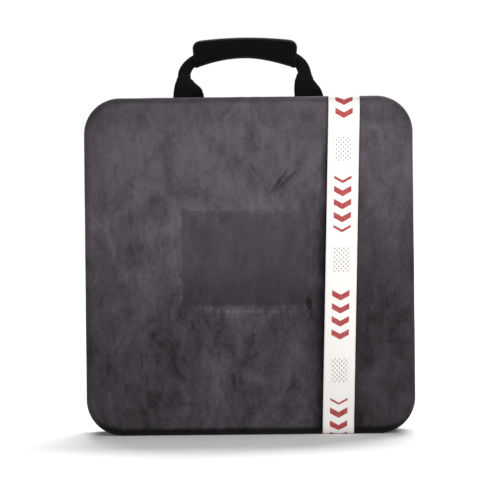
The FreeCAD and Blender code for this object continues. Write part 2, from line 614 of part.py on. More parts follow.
# Handle: the strap's arch and two legs, and the padded sleeve with a slot for the strap
arch = new_body("strap_arch")
handle_arch(arch, "strap_arch_swing", "Revolution", "sizes.fold_thick - sizes.arch_trim",
            "sizes.fold_width - sizes.arch_trim", "sizes.strap_round", "sizes.grip_length")
left_leg = strap_leg("left_leg", "sizes.handle_shift")
right_source = strap_leg("right_leg_source", "(-sizes.handle_shift)")
right_leg = doc.addObject("Part::Mirroring", "right_leg")
right_leg.Source = right_source
right_leg.Normal = Vector(1, 0, 0)
strap = doc.addObject("Part::MultiFuse", "handle_webbing")
strap.Shapes = [arch, left_leg, right_leg]
doc.recompute()
nodes["handle_webbing"] = strap
grip = grip_block("handle_grip")
handle_arch(grip, "grip_slot", "Groove", "sizes.fold_thick + 2 * sizes.grip_slack",
            "sizes.fold_width + 2 * sizes.grip_slack", "sizes.slot_round",
            "(sizes.grip_length + 2 * sizes.slot_over)")
nodes["handle_grip"] = grip

# Foam: a frame with three bays in front of a plain sheet that fills the rear half's face
foam_front = f"({REAR_RIM} + sizes.tape_lap + sizes.foam_set)"
frame = outline_block("foam_frame", foam_front, f"{FOAM_SEAM} - {foam_front}", FOAM_INSET, back=True)
bay_width = "(sizes.body_width - 2 * sizes.foam_side)"
bay_height = "(sizes.body_height - sizes.foam_foot - sizes.foam_head - sizes.foam_rib - sizes.case_height)"
case_width = f"(({bay_width} - sizes.foam_rib) / 2)"
case_x = f"({case_width} + sizes.foam_rib) / 2"
case_z = "sizes.body_height - sizes.foam_head - sizes.case_height / 2"
for tag, width, height, x, z in (
    ("console_bay", bay_width, bay_height, "0", f"sizes.foam_foot + {bay_height} / 2"),
    ("left_case", case_width, "sizes.case_height", f"-{case_x}", case_z),
    ("right_case", case_width, "sizes.case_height", case_x, case_z),
):
    bay = new_sketch(frame, tag, "XZ_Plane", x=x, y=z)
    rounded_rectangle(bay, width, height, "sizes.bay_round")
    pocket_through(frame, bay)
nodes["foam_frame"] = frame
nodes["foam_base_sheet"] = domed_block("foam_base_sheet", False, FOAM_SEAM, FOAM_INSET)

# Mesh pocket: a box open at the top and against the lid's inner face, trimmed by the lid's inside
pocket_box = new_body("pocket_box")
box_sketch = new_sketch(pocket_box, "pocket_outline", "XZ_Plane", y="sizes.pocket_lift", z=f"-{POCKET_FACE}")
rounded_rectangle(box_sketch, "sizes.pocket_width", "sizes.pocket_height", "sizes.pocket_round")
pad(pocket_box, box_sketch, f"sizes.pocket_deep + {CLEAR}")
pocket_core = new_body("pocket_core")
core_sketch = new_sketch(pocket_core, "pocket_core_outline", "XZ_Plane",
                         y=f"sizes.pocket_lift + sizes.pocket_wall + {CLEAR}",
                         z=f"-({POCKET_FACE} - sizes.pocket_wall)")
rounded_rectangle(core_sketch, "sizes.pocket_width - 2 * sizes.pocket_wall",
                  f"sizes.pocket_height + 2 * {CLEAR}", "sizes.pocket_round - sizes.pocket_wall")
pad(pocket_core, core_sketch, f"sizes.pocket_deep + 2 * {CLEAR}")
pocket_skin = boolean("Cut", "pocket_skin", pocket_box, pocket_core)
nodes["lid_mesh_pocket"] = boolean("Common", "lid_mesh_pocket", pocket_skin, front_inner)
hem = doc.addObject("Part::Box", "pocket_hem")
hem_half = "(sizes.pocket_width / 2 - sizes.hem_short)"
bind(hem, Length=f"2 * {hem_half}", Width="sizes.hem_thick", Height="sizes.hem_height",
     Placement__Base__x=f"-{hem_half}", Placement__Base__y=POCKET_FACE,
     Placement__Base__z="sizes.pocket_lift + sizes.pocket_height / 2 - sizes.hem_height")
nodes["pocket_hem"] = hem

for label, on_left in (("left", True), ("right", False)):
    nodes[label + "_slider"] = slider(label + "_slider", on_left)
    nodes[label + "_pull"] = pull(label + "_pull", on_left)

doc.recompute()
for item in doc.Objects:
    if "Invalid" in item.State or "Error" in item.State:
        raise RuntimeError(f"{item.Name} is in state {item.State}")
    shape = getattr(item, "Shape", None)
    if shape is not None and (shape.isNull() or not shape.isValid()):
        raise RuntimeError(f"{item.Name} has no valid shape")

os.makedirs("parts", exist_ok=True)
for label, item in nodes.items():
    item.Label = label
    item.Shape.exportStep(f"parts/{label}.step")
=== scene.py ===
"""Dresses the console carrying bag: suede halves, ribbon, zip, handle, foam tray and mesh pocket.

Metres, in the frame's own axes: the bag stands on z = 0, its front faces -Y and +X is on the right.
"""
from math import atan2, cos, hypot, pi, radians, sin

import bmesh
import bpy
import numpy as np
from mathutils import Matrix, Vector


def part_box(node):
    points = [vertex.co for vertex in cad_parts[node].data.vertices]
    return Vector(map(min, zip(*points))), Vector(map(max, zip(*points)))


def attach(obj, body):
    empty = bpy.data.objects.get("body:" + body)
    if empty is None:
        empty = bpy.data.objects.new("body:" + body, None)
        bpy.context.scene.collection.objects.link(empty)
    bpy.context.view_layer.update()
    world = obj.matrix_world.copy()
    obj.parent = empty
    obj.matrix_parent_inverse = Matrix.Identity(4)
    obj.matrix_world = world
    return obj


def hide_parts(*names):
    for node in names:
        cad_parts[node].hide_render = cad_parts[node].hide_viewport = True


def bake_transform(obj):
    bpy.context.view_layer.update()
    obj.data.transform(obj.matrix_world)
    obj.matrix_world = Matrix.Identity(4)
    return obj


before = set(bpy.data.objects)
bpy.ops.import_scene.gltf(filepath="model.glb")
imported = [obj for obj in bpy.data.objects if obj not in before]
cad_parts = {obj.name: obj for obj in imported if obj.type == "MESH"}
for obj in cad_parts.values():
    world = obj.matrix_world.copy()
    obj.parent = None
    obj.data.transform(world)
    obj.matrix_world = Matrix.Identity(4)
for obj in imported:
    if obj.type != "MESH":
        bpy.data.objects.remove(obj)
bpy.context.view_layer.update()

bl_info = {
    "name": "Console carrying bag",
    "version": (1, 0, 0),
    "blender": (4, 5, 0),
    "location": "View3D > Sidebar > Bag",
    "description": "Makes the cloth, zip, handle and inside of a hard-shell carrying bag",
    "category": "Add Mesh",
}


def node_box(name):
    """The lower and upper corner of a node's box, as arrays."""
    return tuple(np.array(corner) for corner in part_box(name))


# The frame's own measures
FRONT_LOW, FRONT_HIGH = node_box("front_shell")
REAR_LOW, REAR_HIGH = node_box("rear_shell")
HALF_WIDTH = (FRONT_HIGH[0] - FRONT_LOW[0]) / 2
HALF_HEIGHT = (FRONT_HIGH[2] - FRONT_LOW[2]) / 2
MID_Z = (FRONT_HIGH[2] + FRONT_LOW[2]) / 2
TOP_Z = FRONT_HIGH[2]
ZIP_Y = (FRONT_HIGH[1] + REAR_LOW[1]) / 2
GRIP_LOW, GRIP_HIGH = node_box("handle_grip")
HANDLE_Y = (GRIP_LOW[1] + GRIP_HIGH[1]) / 2

# The photograph's view, which the camera repeats: its distance from a plane in the bag, the width seen
# at that plane, the place in its middle and its roll
VIEW_DISTANCE, VIEW_PLANE, VIEW_WIDTH = 3.6, -0.045, 0.5785
VIEW_X, VIEW_Z, VIEW_ROLL = 0.0006, 0.213, radians(0.6)
# Pixels along a side of the photograph, and what one of them measures on the bag's front
PHOTO_SIDE = 500
PIXEL = VIEW_WIDTH / PHOTO_SIDE * (1 + (FRONT_LOW[1] - VIEW_PLANE) / VIEW_DISTANCE)

# Share of a side of a rounded rectangle that each half corner takes
ARC_SHARE = 0.14
# Points closer than this become one
WELD = 1e-6
# From one row to the next along a rim
RIM_STEP = 0.004
# Directions
DEPTHWISE = np.array([0.0, 1.0, 0.0])
UPWARDS = np.array([0.0, 0.0, 1.0])


def length(name, description, default):
    """A size in metres that a user may change."""
    return bpy.props.FloatProperty(name=name, description=description, default=default, min=0.0,
                                   precision=4, unit="LENGTH")


def colour(name, description, default):
    """A linear colour that a user may change."""
    return bpy.props.FloatVectorProperty(name=name, description=description, default=default, size=3,
                                         min=0.0, max=1.0, subtype="COLOR")


class BagSizes(bpy.types.PropertyGroup):
    """Sizes of the bag's cloth and trim that a user may change."""
    corner_radius: length("Corner radius", "Corners of the bag's outline", 0.042)
    edge_radius: length("Edge radius", "Rounded edge between a face and its walls", 0.013)
    wall: length("Wall", "Moulded wall with its cover", 0.005)
    rim_lip: length("Rim lip", "Rounding of a half's rim", 0.0011)
    face_crown: length("Face crown", "Fall of a face from its middle to its corners", 0.003)
    cover_wave: length("Cover waves", "Unevenness of the cover over the shell", 0.0005)
    mark_width: length("Pressed width", "Heat-pressed rectangle on the front", 0.146)
    mark_height: length("Pressed height", "Heat-pressed rectangle on the front", 0.110)
    mark_depth: length("Pressed depth", "How far the rectangle is pressed in", 0.0009)
    mark_lip: length("Pressed lip", "Lip that pressing raises round the rectangle", 0.00012)
    mark_shift: length("Pressed shift", "Rectangle left of the middle", 0.005)
    mark_lift: length("Pressed lift", "Middle of the rectangle above the floor", 0.204)
    mark_round: length("Pressed corners", "Corner radius of the pressed rectangle", 0.012)
    mark_soft: length("Pressed softness", "Half the width of the rectangle's soft edge", 0.0032)
    crease_depth: length("Crease depth", "Fold of the cover along the top edge", 0.0007)
    piping_radius: length("Piping radius", "Piping on each rim", 0.0020)
    tape_thick: length("Tape thickness", "Zip tape", 0.0008)
    tooth_pitch: length("Tooth pitch", "From one zip tooth to the next", 0.0025)
    tooth_width: length("Tooth width", "One zip tooth, along the zip", 0.00144)
    tooth_height: length("Tooth height", "Zip teeth above the tape", 0.0019)
    tooth_mesh: length("Tooth mesh", "How far meshed teeth reach past the middle of the zip", 0.0006)
    ribbon_width: length("Ribbon width", "Ribbon down the front", 0.036)
    ribbon_thick: length("Ribbon thickness", "Ribbon down the front", 0.0007)
    ribbon_top: length("Ribbon top", "Middle of the ribbon at its upper end, right of the middle", 0.1113)
    ribbon_foot: length("Ribbon foot", "Middle of the ribbon at its foot, right of the middle", 0.0999)
    strap_width: length("Strap width", "Handle webbing laid flat", 0.038)
    strap_thick: length("Strap thickness", "Handle webbing", 0.0021)
    strap_root: length("Strap root", "Middle of a leg at its root, from the middle of the bag", 0.0705)
    strap_fold: length("Folded strap", "Webbing where it is folded in three", 0.0134)
    tab_length: length("Tab length", "Sewn end of the webbing", 0.034)
    handle_shift: length("Handle shift", "Grip left of the middle", 0.003)
    grip_half: length("Half grip", "Half the grip's length at half its height", 0.0605)
    grip_crown: length("Grip crown", "Radius of the grip's upper edge", 0.430)
    grip_saddle: length("Grip saddle", "Radius of the grip's lower edge", 0.155)
    grip_height: length("Grip height", "Grip at its middle", 0.0242)
    stitch_length: length("Stitch length", "One stitch", 0.0030)
    stitch_pitch: length("Stitch pitch", "From one stitch to the next", 0.0046)
    thread_width: length("Thread width", "Sewing thread, laid flat", 0.00076)
    thread_height: length("Thread height", "Sewing thread above the cloth", 0.00068)
    mesh_pitch: length("Mesh pitch", "From one hole of the pocket's mesh to the next", 0.0034)
    mesh_thick: length("Mesh thickness", "Knitted mesh of the pocket", 0.0006)
    pocket_round: length("Pocket corners", "Lower corners of the pocket", 0.016)
    foam_round: length("Foam rounding", "Edges of the bays in the foam", 0.003)
    foam_side: length("Foam side", "From the bag's side to the bays", 0.040)
    foam_foot: length("Foam foot", "From the floor to the console bay", 0.022)
    foam_head: length("Foam head", "From the bag's top to the accessory bays", 0.024)
    foam_rib: length("Foam rib", "Foam between two bays", 0.014)
    bay_round: length("Bay corners", "Corner radius of the bays", 0.012)
    case_height: length("Accessory bay", "Height of the two accessory bays", 0.062)


class BagColours(bpy.types.PropertyGroup):
    """Colours of the bag's finishes."""
    suede: colour("Suede", "Brushed nap of the cover", (0.084, 0.0725, 0.0855))
    lining: colour("Lining", "Cloth inside the halves", (0.012, 0.012, 0.013))
    piping: colour("Piping", "Bound piping", (0.030, 0.028, 0.031))
    tape: colour("Zip tape", "Woven tape of the zip", (0.014, 0.014, 0.015))
    teeth: colour("Zip teeth", "Coil teeth", (0.020, 0.020, 0.022))
    webbing: colour("Webbing", "Handle webbing", (0.0028, 0.0028, 0.0030))
    grip: colour("Grip", "Padded sleeve of the handle", (0.0016, 0.0016, 0.0020))
    thread: colour("Thread", "Sewing thread", (0.020, 0.019, 0.021))
    ribbon: colour("Ribbon", "Woven ribbon", (0.90, 0.865, 0.84))
    chevron: colour("Chevrons", "Pattern of the ribbon", (0.36, 0.008, 0.012))
    diamond: colour("Diamonds", "Pattern of the ribbon", (0.24, 0.225, 0.22))
    foam: colour("Foam", "Foam tray", (0.020, 0.020, 0.022))
    mesh: colour("Mesh", "Knitted pocket", (0.030, 0.030, 0.033))
    metal: colour("Slider metal", "Plated sliders and pulls", (0.090, 0.090, 0.096))
    floor: colour("Floor", "Studio floor", (0.88, 0.88, 0.88))


class Surface:
    """Grids of points gathered into one mesh with cloth coordinates; building it welds their seams."""

    def __init__(self):
        self.points, self.quads, self.coords, self.size = [], [], [], 0

    def grid(self, points, across=0.0, along=0.0):
        """Adds grids of points [..., rows, columns, 3]; across and along are their cloth coordinates."""
        rows, columns = points.shape[-3:-1]
        sheets = points.reshape(-1, rows, columns, 3)
        index = self.size + np.arange(sheets.size // 3).reshape(sheets.shape[:3])
        corners = (index[:, :-1, :-1], index[:, :-1, 1:], index[:, 1:, 1:], index[:, 1:, :-1])
        coords = np.zeros(sheets.shape[:3] + (2,))
        coords[..., 0] = across
        coords[..., 1] = along
        self.points.append(sheets.reshape(-1, 3))
        self.quads.append(np.stack(corners, axis=-1).reshape(-1, 4))
        self.coords.append(coords.reshape(-1, 2))
        self.size += sheets.size // 3

    def cap(self, ring, across=0.0, along=0.0):
        """Closes a ring of points [columns, 3] by a fan to its middle."""
        middle = np.broadcast_to(ring[:-1].mean(axis=0), ring.shape)
        self.grid(np.stack([ring, middle]), across, along)

    def build(self, name):
        """The mesh object: seams welded, faces turned outwards and shaded smooth."""
        quads = np.concatenate(self.quads)
        mesh = bpy.data.meshes.new(name)
        mesh.from_pydata(np.concatenate(self.points).tolist(), [], quads.tolist())
        coords = np.concatenate(self.coords)[quads.ravel()]
        mesh.uv_layers.new(name="cloth").data.foreach_set("uv", coords.ravel())
        work = bmesh.new()
        work.from_mesh(mesh)
        bmesh.ops.remove_doubles(work, verts=work.verts, dist=WELD)
        bmesh.ops.recalc_face_normals(work, faces=work.faces)
        work.to_mesh(mesh)
        work.free()
        mesh.polygons.foreach_set("use_smooth", np.ones(len(mesh.polygons), dtype=bool))
        piece = bpy.data.objects.new(name, mesh)
        bpy.context.collection.objects.link(piece)
        return piece


def dress(piece, body, slot, material, *nodes):
    """Gives a piece its finish and its body, and hides the nodes that it stands for."""
    piece.data.materials.append(material)
    if nodes:
        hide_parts(*nodes)
    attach(piece, body)


def smooth(value):
    """A step from 0 to 1 with level ends: 3 t^2 - 2 t^3."""
    t = np.clip(value, 0.0, 1.0)
    return t * t * (3.0 - 2.0 * t)


def unit(vectors):
    """Vectors divided by their lengths."""
    return vectors / np.linalg.norm(vectors, axis=-1, keepdims=True)


def lengths_along(points):
    """Length of the way from the first point of a line to each of its points."""
    return np.concatenate([[0], np.cumsum(np.linalg.norm(np.diff(points, axis=0), axis=-1))])


def bowed(value, power):
    """A power that keeps the sign, which turns a sine into something between a circle and a box."""
    return np.sign(value) * np.abs(value) ** power


def rounded_rectangle(turn, half_w, half_h, radii):
    """Points (x, z) of a rounded rectangle about its middle.

    The whole part of `turn` is the side, from the foot anticlockwise, and the rest is the share of it: half
    an arc, a straight run and half an arc. `radii` is one for all corners or four from the lower left.
    """
    radii = radii if isinstance(radii, tuple) else (radii,) * 4
    side = np.floor(turn).astype(int) % 4
    share = turn - np.floor(turn)
    level = side % 2 == 0
    run, across = np.where(level, half_w, half_h), np.where(level, half_h, half_w)
    first, second = np.choose(side, radii), np.choose((side + 1) % 4, radii)
    leaving = (1.0 - np.clip(share / ARC_SHARE, 0, 1)) * pi / 4
    straight = np.clip((share - ARC_SHARE) / (1 - 2 * ARC_SHARE), 0, 1)
    arriving = np.clip((share - 1 + ARC_SHARE) / ARC_SHARE, 0, 1) * pi / 4
    a = (first - run - first * np.sin(leaving) + straight * (2 * run - first - second)
         + second * np.sin(arriving))
    b = first * (1 - np.cos(leaving)) - across + second * (1 - np.cos(arriving))
    x = np.choose(side, [a, -b, -a, b])
    z = np.choose(side, [b, a, -b, -a])
    return x, z


def outline(turn, inset, sizes):
    """The bag's outline about its middle, moved inwards by `inset`."""
    return rounded_rectangle(turn, HALF_WIDTH - inset, HALF_HEIGHT - inset, sizes.corner_radius - inset)


def outside_corner(past_x, past_z, radius):
    """Distance outwards from a rounded corner, from how far a point is past the middle of its arc."""
    beyond = np.hypot(np.maximum(past_x, 0), np.maximum(past_z, 0))
    return beyond + np.minimum(np.maximum(past_x, past_z), 0) - radius


def loop_turns(steps):
    """Turns of a whole loop with `steps` to a side, the first one again at the end."""
    return (np.arange(4 * steps + 1) % (4 * steps)) / steps


def square_turns(steps):
    """A square grid laid over a rounded rectangle: each point's turn and its share of the way out."""
    s, t = np.meshgrid(np.linspace(-1, 1, steps + 1), np.linspace(-1, 1, steps + 1))
    out = np.maximum(np.abs(s), np.abs(t))
    safe = np.maximum(out, 1e-9)
    side = np.where(t == -out, 0, np.where(s == out, 1, np.where(t == out, 2, 3)))
    share = np.choose(side, [s / safe + 1, t / safe + 1, 1 - s / safe, 1 - t / safe]) / 2
    return side + np.minimum(share, 1 - 1e-12), out


def waves(x, z, seed, count=7, shortest=0.05, longest=0.16):
    """Soft unevenness from -1 to 1: the mean of sines of different directions and wavelengths."""
    draw = np.random.default_rng(seed)
    total = np.zeros(np.broadcast(x, z).shape)
    for heading, span, phase in zip(draw.uniform(0, pi, count), draw.uniform(shortest, longest, count),
                                    draw.uniform(0, 2 * pi, count)):
        total += np.sin(2 * pi * (x * cos(heading) + z * sin(heading)) / span + phase)
    return total / count


def crown(x, z, sizes):
    """Fall of a crowned face: the square of the way from its middle, `face_crown` at the corners."""
    return sizes.face_crown * (x * x + z * z) / (HALF_WIDTH ** 2 + HALF_HEIGHT ** 2)


def pressed(x, z, sizes):
    """1 inside the pressed rectangle, 0 outside, with a soft edge, from the distance to a rounded box."""
    soft, corner = sizes.mark_soft, sizes.mark_round
    past_x = np.abs(x + sizes.mark_shift) - sizes.mark_width / 2 + corner
    past_z = np.abs(z + MID_Z - sizes.mark_lift) - sizes.mark_height / 2 + corner
    return 1.0 - smooth((outside_corner(past_x, past_z, corner) + soft) / (2 * soft))


def face_relief(x, z, sizes, front):
    """Depth of a face below its middle plane: crown, waves that fade at the edge, and the pressed mark."""
    room = np.minimum(HALF_WIDTH - np.abs(x), HALF_HEIGHT - np.abs(z)) - sizes.edge_radius
    fade_run = 0.03
    depth = crown(x, z, sizes) + sizes.cover_wave * waves(x, z, 3 if front else 5) * smooth(room / fade_run)
    if front:
        inside = pressed(x, z, sizes)
        lip = 4 * inside * (1 - inside)
        depth = depth + sizes.mark_depth * inside - sizes.mark_lip * lip
    return depth


def shell(sizes, front, steps):
    """One moulded half as a closed skin.

    The outer face is a square grid laid over the outline; from its edge, rows of loops run round the edge's
    quarter circle, along the wall, over the rim and back inside, where a second grid closes the skin.
    """
    edge, wall = sizes.edge_radius, sizes.wall
    inner = edge - wall
    apex, rim = (FRONT_LOW[1], FRONT_HIGH[1]) if front else (REAR_HIGH[1], REAR_LOW[1])
    inwards = 1.0 if front else -1.0
    deep = abs(rim - apex)
    lip = sizes.rim_lip

    def points(x, z, depth):
        return np.stack(np.broadcast_arrays(x, apex + inwards * depth, z + MID_Z), axis=-1)

    turn, out = square_turns(steps)
    x, z = (out * part for part in outline(turn, edge, sizes))
    outer_face = points(x, z, face_relief(x, z, sizes, front))
    inner_face = points(x, z, crown(x, z, sizes) + wall)

    # Rows of (inset, drop, how far the row follows the crowned face)
    bend = np.linspace(0, pi / 2, 17)
    quarter = np.linspace(0, pi / 2, 5)
    turned = quarter[1:]
    fall = np.linspace(0, 1, 7)[1:]
    rows = [(edge * (1 - np.sin(bend)), edge * (1 - np.cos(bend)), 0 * bend + 1),
            (0 * fall, edge + (deep - lip - edge) * fall, 1 - fall),
            (lip * (1 - np.cos(turned)), deep - lip + lip * np.sin(turned), 0 * turned),
            (wall - lip + lip * np.sin(quarter), deep - lip + lip * np.cos(quarter), 0 * quarter),
            (wall + 0 * fall, deep - lip + (edge - deep + lip) * fall, fall),
            (wall + inner * (1 - np.cos(turned)), edge - inner * np.sin(turned), 0 * turned + 1)]
    inset, drop, follow = (np.concatenate(column)[:, None] for column in zip(*rows))
    turn = loop_turns(steps)[None, :]
    edge_x, edge_z = outline(turn, edge, sizes)
    x, z = outline(turn, inset, sizes)
    outside = (np.arange(len(inset)) < len(bend) + len(fall))[:, None]
    # The cover dents inwards a little along the walls, and folds along the front half's top edge
    uneven = 0.5 + 0.5 * waves(x, z, 11, shortest=0.03, longest=0.09)
    dent = sizes.cover_wave * uneven * np.sin(pi * np.clip(drop / deep, 0, 1))
    x = x - np.where(outside, dent * np.sign(x) * (np.abs(x) > HALF_WIDTH - edge), 0)
    z = z - np.where(outside & (z > 0), dent * (np.abs(z) > HALF_HEIGHT - edge), 0)
    depth = follow * crown(edge_x, edge_z, sizes) + drop
    if front:
        below_top, sway, breadth, fade_run = 0.0048, 0.0007, 0.0009, 0.03
        along_top = smooth((HALF_WIDTH - sizes.corner_radius - np.abs(x)) / fade_run) * (z > 0)
        line = below_top + sway * waves(x, 0 * x, 21, shortest=0.03, longest=0.1)
        fold = np.exp(-((HALF_HEIGHT - z - line) / breadth) ** 2) * along_top * outside * (drop < edge)
        depth = depth + sizes.crease_depth * fold
        z = z - sizes.crease_depth * fold
    skin = Surface()
    skin.grid(outer_face, across=0.0)
    skin.grid(points(x, z, depth), across=np.where(outside, 0.0, 1.0))
    skin.grid(inner_face, across=1.0)
    return skin


def rim_path(sizes, inset, y, step):
    """The rim's loop, open along the straight bottom: places, tangents, outward normals and lengths."""
    x, z = outline(np.linspace(1 - ARC_SHARE, 4 + ARC_SHARE, 4001), inset, sizes)
    run = lengths_along(np.stack([x, z], axis=-1))
    places = np.linspace(0, run[-1], int(round(run[-1] / step)) + 1)
    x, z = np.interp(places, run, x), np.interp(places, run, z)
    points = np.stack([x, np.full_like(x, y), z + MID_Z], axis=-1)
    tangents = unit(np.gradient(points, axis=0))
    normals = np.cross(tangents, DEPTHWISE)
    outwards = np.sign((normals * np.stack([x, 0 * x, z], axis=-1)).sum(axis=-1, keepdims=True))
    return points, tangents, normals * outwards, places


def sweep(surface, path, sections, side, up, along, across):
    """Carries a closed section [columns, 2], or one for each row, along a path on two axes."""
    sections = np.broadcast_to(sections, (len(path), *sections.shape[-2:]))
    side, up = (np.broadcast_to(axis, path.shape) for axis in (side, up))
    points = path[:, None] + sections[..., :1] * side[:, None] + sections[..., 1:] * up[:, None]
    surface.grid(points, across, along[:, None])
    for end in (0, -1):
        surface.cap(points[end], across, along[end])


def oval(half_a, half_b, power, columns):
    """A closed section between an ellipse (power 1) and a box (power towards 0)."""
    angle = np.linspace(0, 2 * pi, columns + 1)
    angle[-1] = 0.0
    return np.stack([half_a * bowed(np.cos(angle), power), half_b * bowed(np.sin(angle), power)], axis=-1)


def beads(centres, along, up, half_sizes, power=1.0, rows=6, columns=7):
    """Small rounded bodies, one at each centre: an oval section scaled along its length by a half oval."""
    half_along, half_across, half_up = half_sizes
    along, up = (np.broadcast_to(axis, centres.shape) for axis in (along, up))
    lean = np.linspace(-pi / 2, pi / 2, rows)
    reach = bowed(np.sin(lean), power) * np.broadcast_to(half_along, len(centres))[:, None]
    scale = np.cos(lean) ** power
    scale[[0, -1]] = 0.0
    section = oval(half_across, half_up, power, columns)
    across = np.cross(up, along)
    return (centres[:, None, None] + reach[..., None, None] * along[:, None, None]
            + (scale[:, None] * section[:, 0])[None, ..., None] * across[:, None, None]
            + (scale[:, None] * section[:, 1])[None, ..., None] * up[:, None, None])


def stitch_row(surface, sizes, points, up):
    """A row of stitches along a line of points, laid on the side that `up` gives."""
    run = lengths_along(points)
    count = max(2, int(run[-1] / sizes.stitch_pitch))
    places = (np.arange(count) + 0.5) * run[-1] / count
    near = 1e-4

    def at(lengths, rows):
        """Rows that belong to the points, read off at lengths along the line."""
        return np.stack([np.interp(lengths, run, column) for column in rows.T], axis=-1)

    along = unit(at(places + near, points) - at(places - near, points))
    ups = at(places, np.broadcast_to(up, points.shape))
    ups = unit(ups - (ups * along).sum(axis=-1, keepdims=True) * along)
    half_sizes = (sizes.stitch_length / 2, sizes.thread_width / 2, sizes.thread_height / 2)
    surface.grid(beads(at(places, points), along, ups, half_sizes))


class Value:
    """A node's output that can be used in sums: each operator adds one Math node."""

    def __init__(self, nodes, socket):
        self.nodes, self.socket = nodes, socket

    def maths(self, operation, *values):
        return self.nodes.node("ShaderNodeMath", {"operation": operation}, dict(enumerate(values)))

    def __add__(self, other):
        return self.maths("ADD", self, other)

    def __sub__(self, other):
        return self.maths("SUBTRACT", self, other)

    def __rsub__(self, other):
        return self.maths("SUBTRACT", other, self)

    def __mul__(self, other):
        return self.maths("MULTIPLY", self, other)

    def __truediv__(self, other):
        return self.maths("DIVIDE", self, other)

    def __pow__(self, other):
        return self.maths("POWER", self, other)

    def __abs__(self):
        return self.maths("ABSOLUTE", self)

    def __mod__(self, other):
        return self.maths("FLOORED_MODULO", self, other)

    def sine(self):
        return self.maths("SINE", self)

    def cosine(self):
        return self.maths("COSINE", self)

    def least(self, other):
        return self.maths("MINIMUM", self, other)

    def most(self, other):
        return self.maths("MAXIMUM", self, other)

    __radd__, __rmul__ = __add__, __mul__


class Nodes:
    """A node tree, and the one method that adds nodes to it."""

    def __init__(self, tree):
        self.tree = tree
        self.tree.nodes.clear()

    def node(self, kind, settings=None, inputs=None, out=0):
        """Adds a node of a type: its settings first, then the values or links of its sockets."""
        item = self.tree.nodes.new(kind)
        for key, value in (settings or {}).items():
            setattr(item, key, value)
        for key, value in (inputs or {}).items():
            if isinstance(value, Value):
                self.tree.links.new(value.socket, item.inputs[key])
            else:
                item.inputs[key].default_value = value
        return Value(self, item.outputs[out]) if len(item.outputs) else None


class Finish(Nodes):
    """A material, with short names for the nodes that it often needs."""

    def __init__(self, name):
        self.material = bpy.data.materials.new(name)
        self.material.use_nodes = True
        super().__init__(self.material.node_tree)

    def place(self):
        """Object coordinates, in metres."""
        return self.node("ShaderNodeTexCoord", out="Object")

    def cloth(self):
        """Coordinates across and along the cloth, in metres."""
        return self.split(self.node("ShaderNodeUVMap", {"uv_map": "cloth"}))[:2]

    def split(self, vector):
        parts = self.node("ShaderNodeSeparateXYZ", inputs={0: vector}).socket.node
        return tuple(Value(self, socket) for socket in parts.outputs)

    def mapped(self, vector, location=(0, 0, 0), rotation=(0, 0, 0), scale=(1, 1, 1), kind="POINT"):
        return self.node("ShaderNodeMapping", {"vector_type": kind},
                         {"Vector": vector, "Location": location, "Rotation": rotation, "Scale": scale})

    def noise(self, vector, scale, detail=2.0, rough=0.5, twist=0.0):
        return self.node("ShaderNodeTexNoise", None, {"Vector": vector, "Scale": scale, "Detail": detail,
                                                      "Roughness": rough, "Distortion": twist})

    def ramp(self, value, low, high):
        """0 at `low` rising evenly to 1 at `high`."""
        return self.node("ShaderNodeMapRange", {"clamp": True},
                         {"Value": value, 1: low, 2: high, 3: 0.0, 4: 1.0})

    def soft_step(self, value, low, high, top=1.0):
        """0 at `low` rising to `top` at `high` with level ends."""
        return self.node("ShaderNodeMapRange", {"interpolation_type": "SMOOTHSTEP"},
                         {"Value": value, 1: low, 2: high, 3: 0.0, 4: top})

    def mix(self, factor, first, second):
        """The first colour where the factor is 0, the second where it is 1."""
        first, second = (tone if isinstance(tone, Value) else (*tone, 1.0) for tone in (first, second))
        return self.node("ShaderNodeMix", {"data_type": "RGBA"}, {0: factor, 6: first, 7: second}, out=2)

    def shade(self, tone, factor):
        """A colour made darker or lighter by a factor that varies."""
        return self.node("ShaderNodeVectorMath", {"operation": "SCALE"}, {0: tuple(tone), "Scale": factor})

    def bump(self, height, distance, strength):
        return self.node("ShaderNodeBump", None,
                         {"Height": height, "Distance": distance, "Strength": strength})

    def surface(self, **sockets):
        """The Principled surface; words of a socket's name are joined by underscores."""
        inputs = {}
        for key, value in sockets.items():
            if key in ("Base_Color", "Emission_Color", "Sheen_Tint") and not isinstance(value, Value):
                value = (*value, 1.0)
            inputs[key.replace("_", " ")] = value
        shader = self.node("ShaderNodeBsdfPrincipled", None, inputs)
        self.node("ShaderNodeOutputMaterial", None, {"Surface": shader})
        return self.material
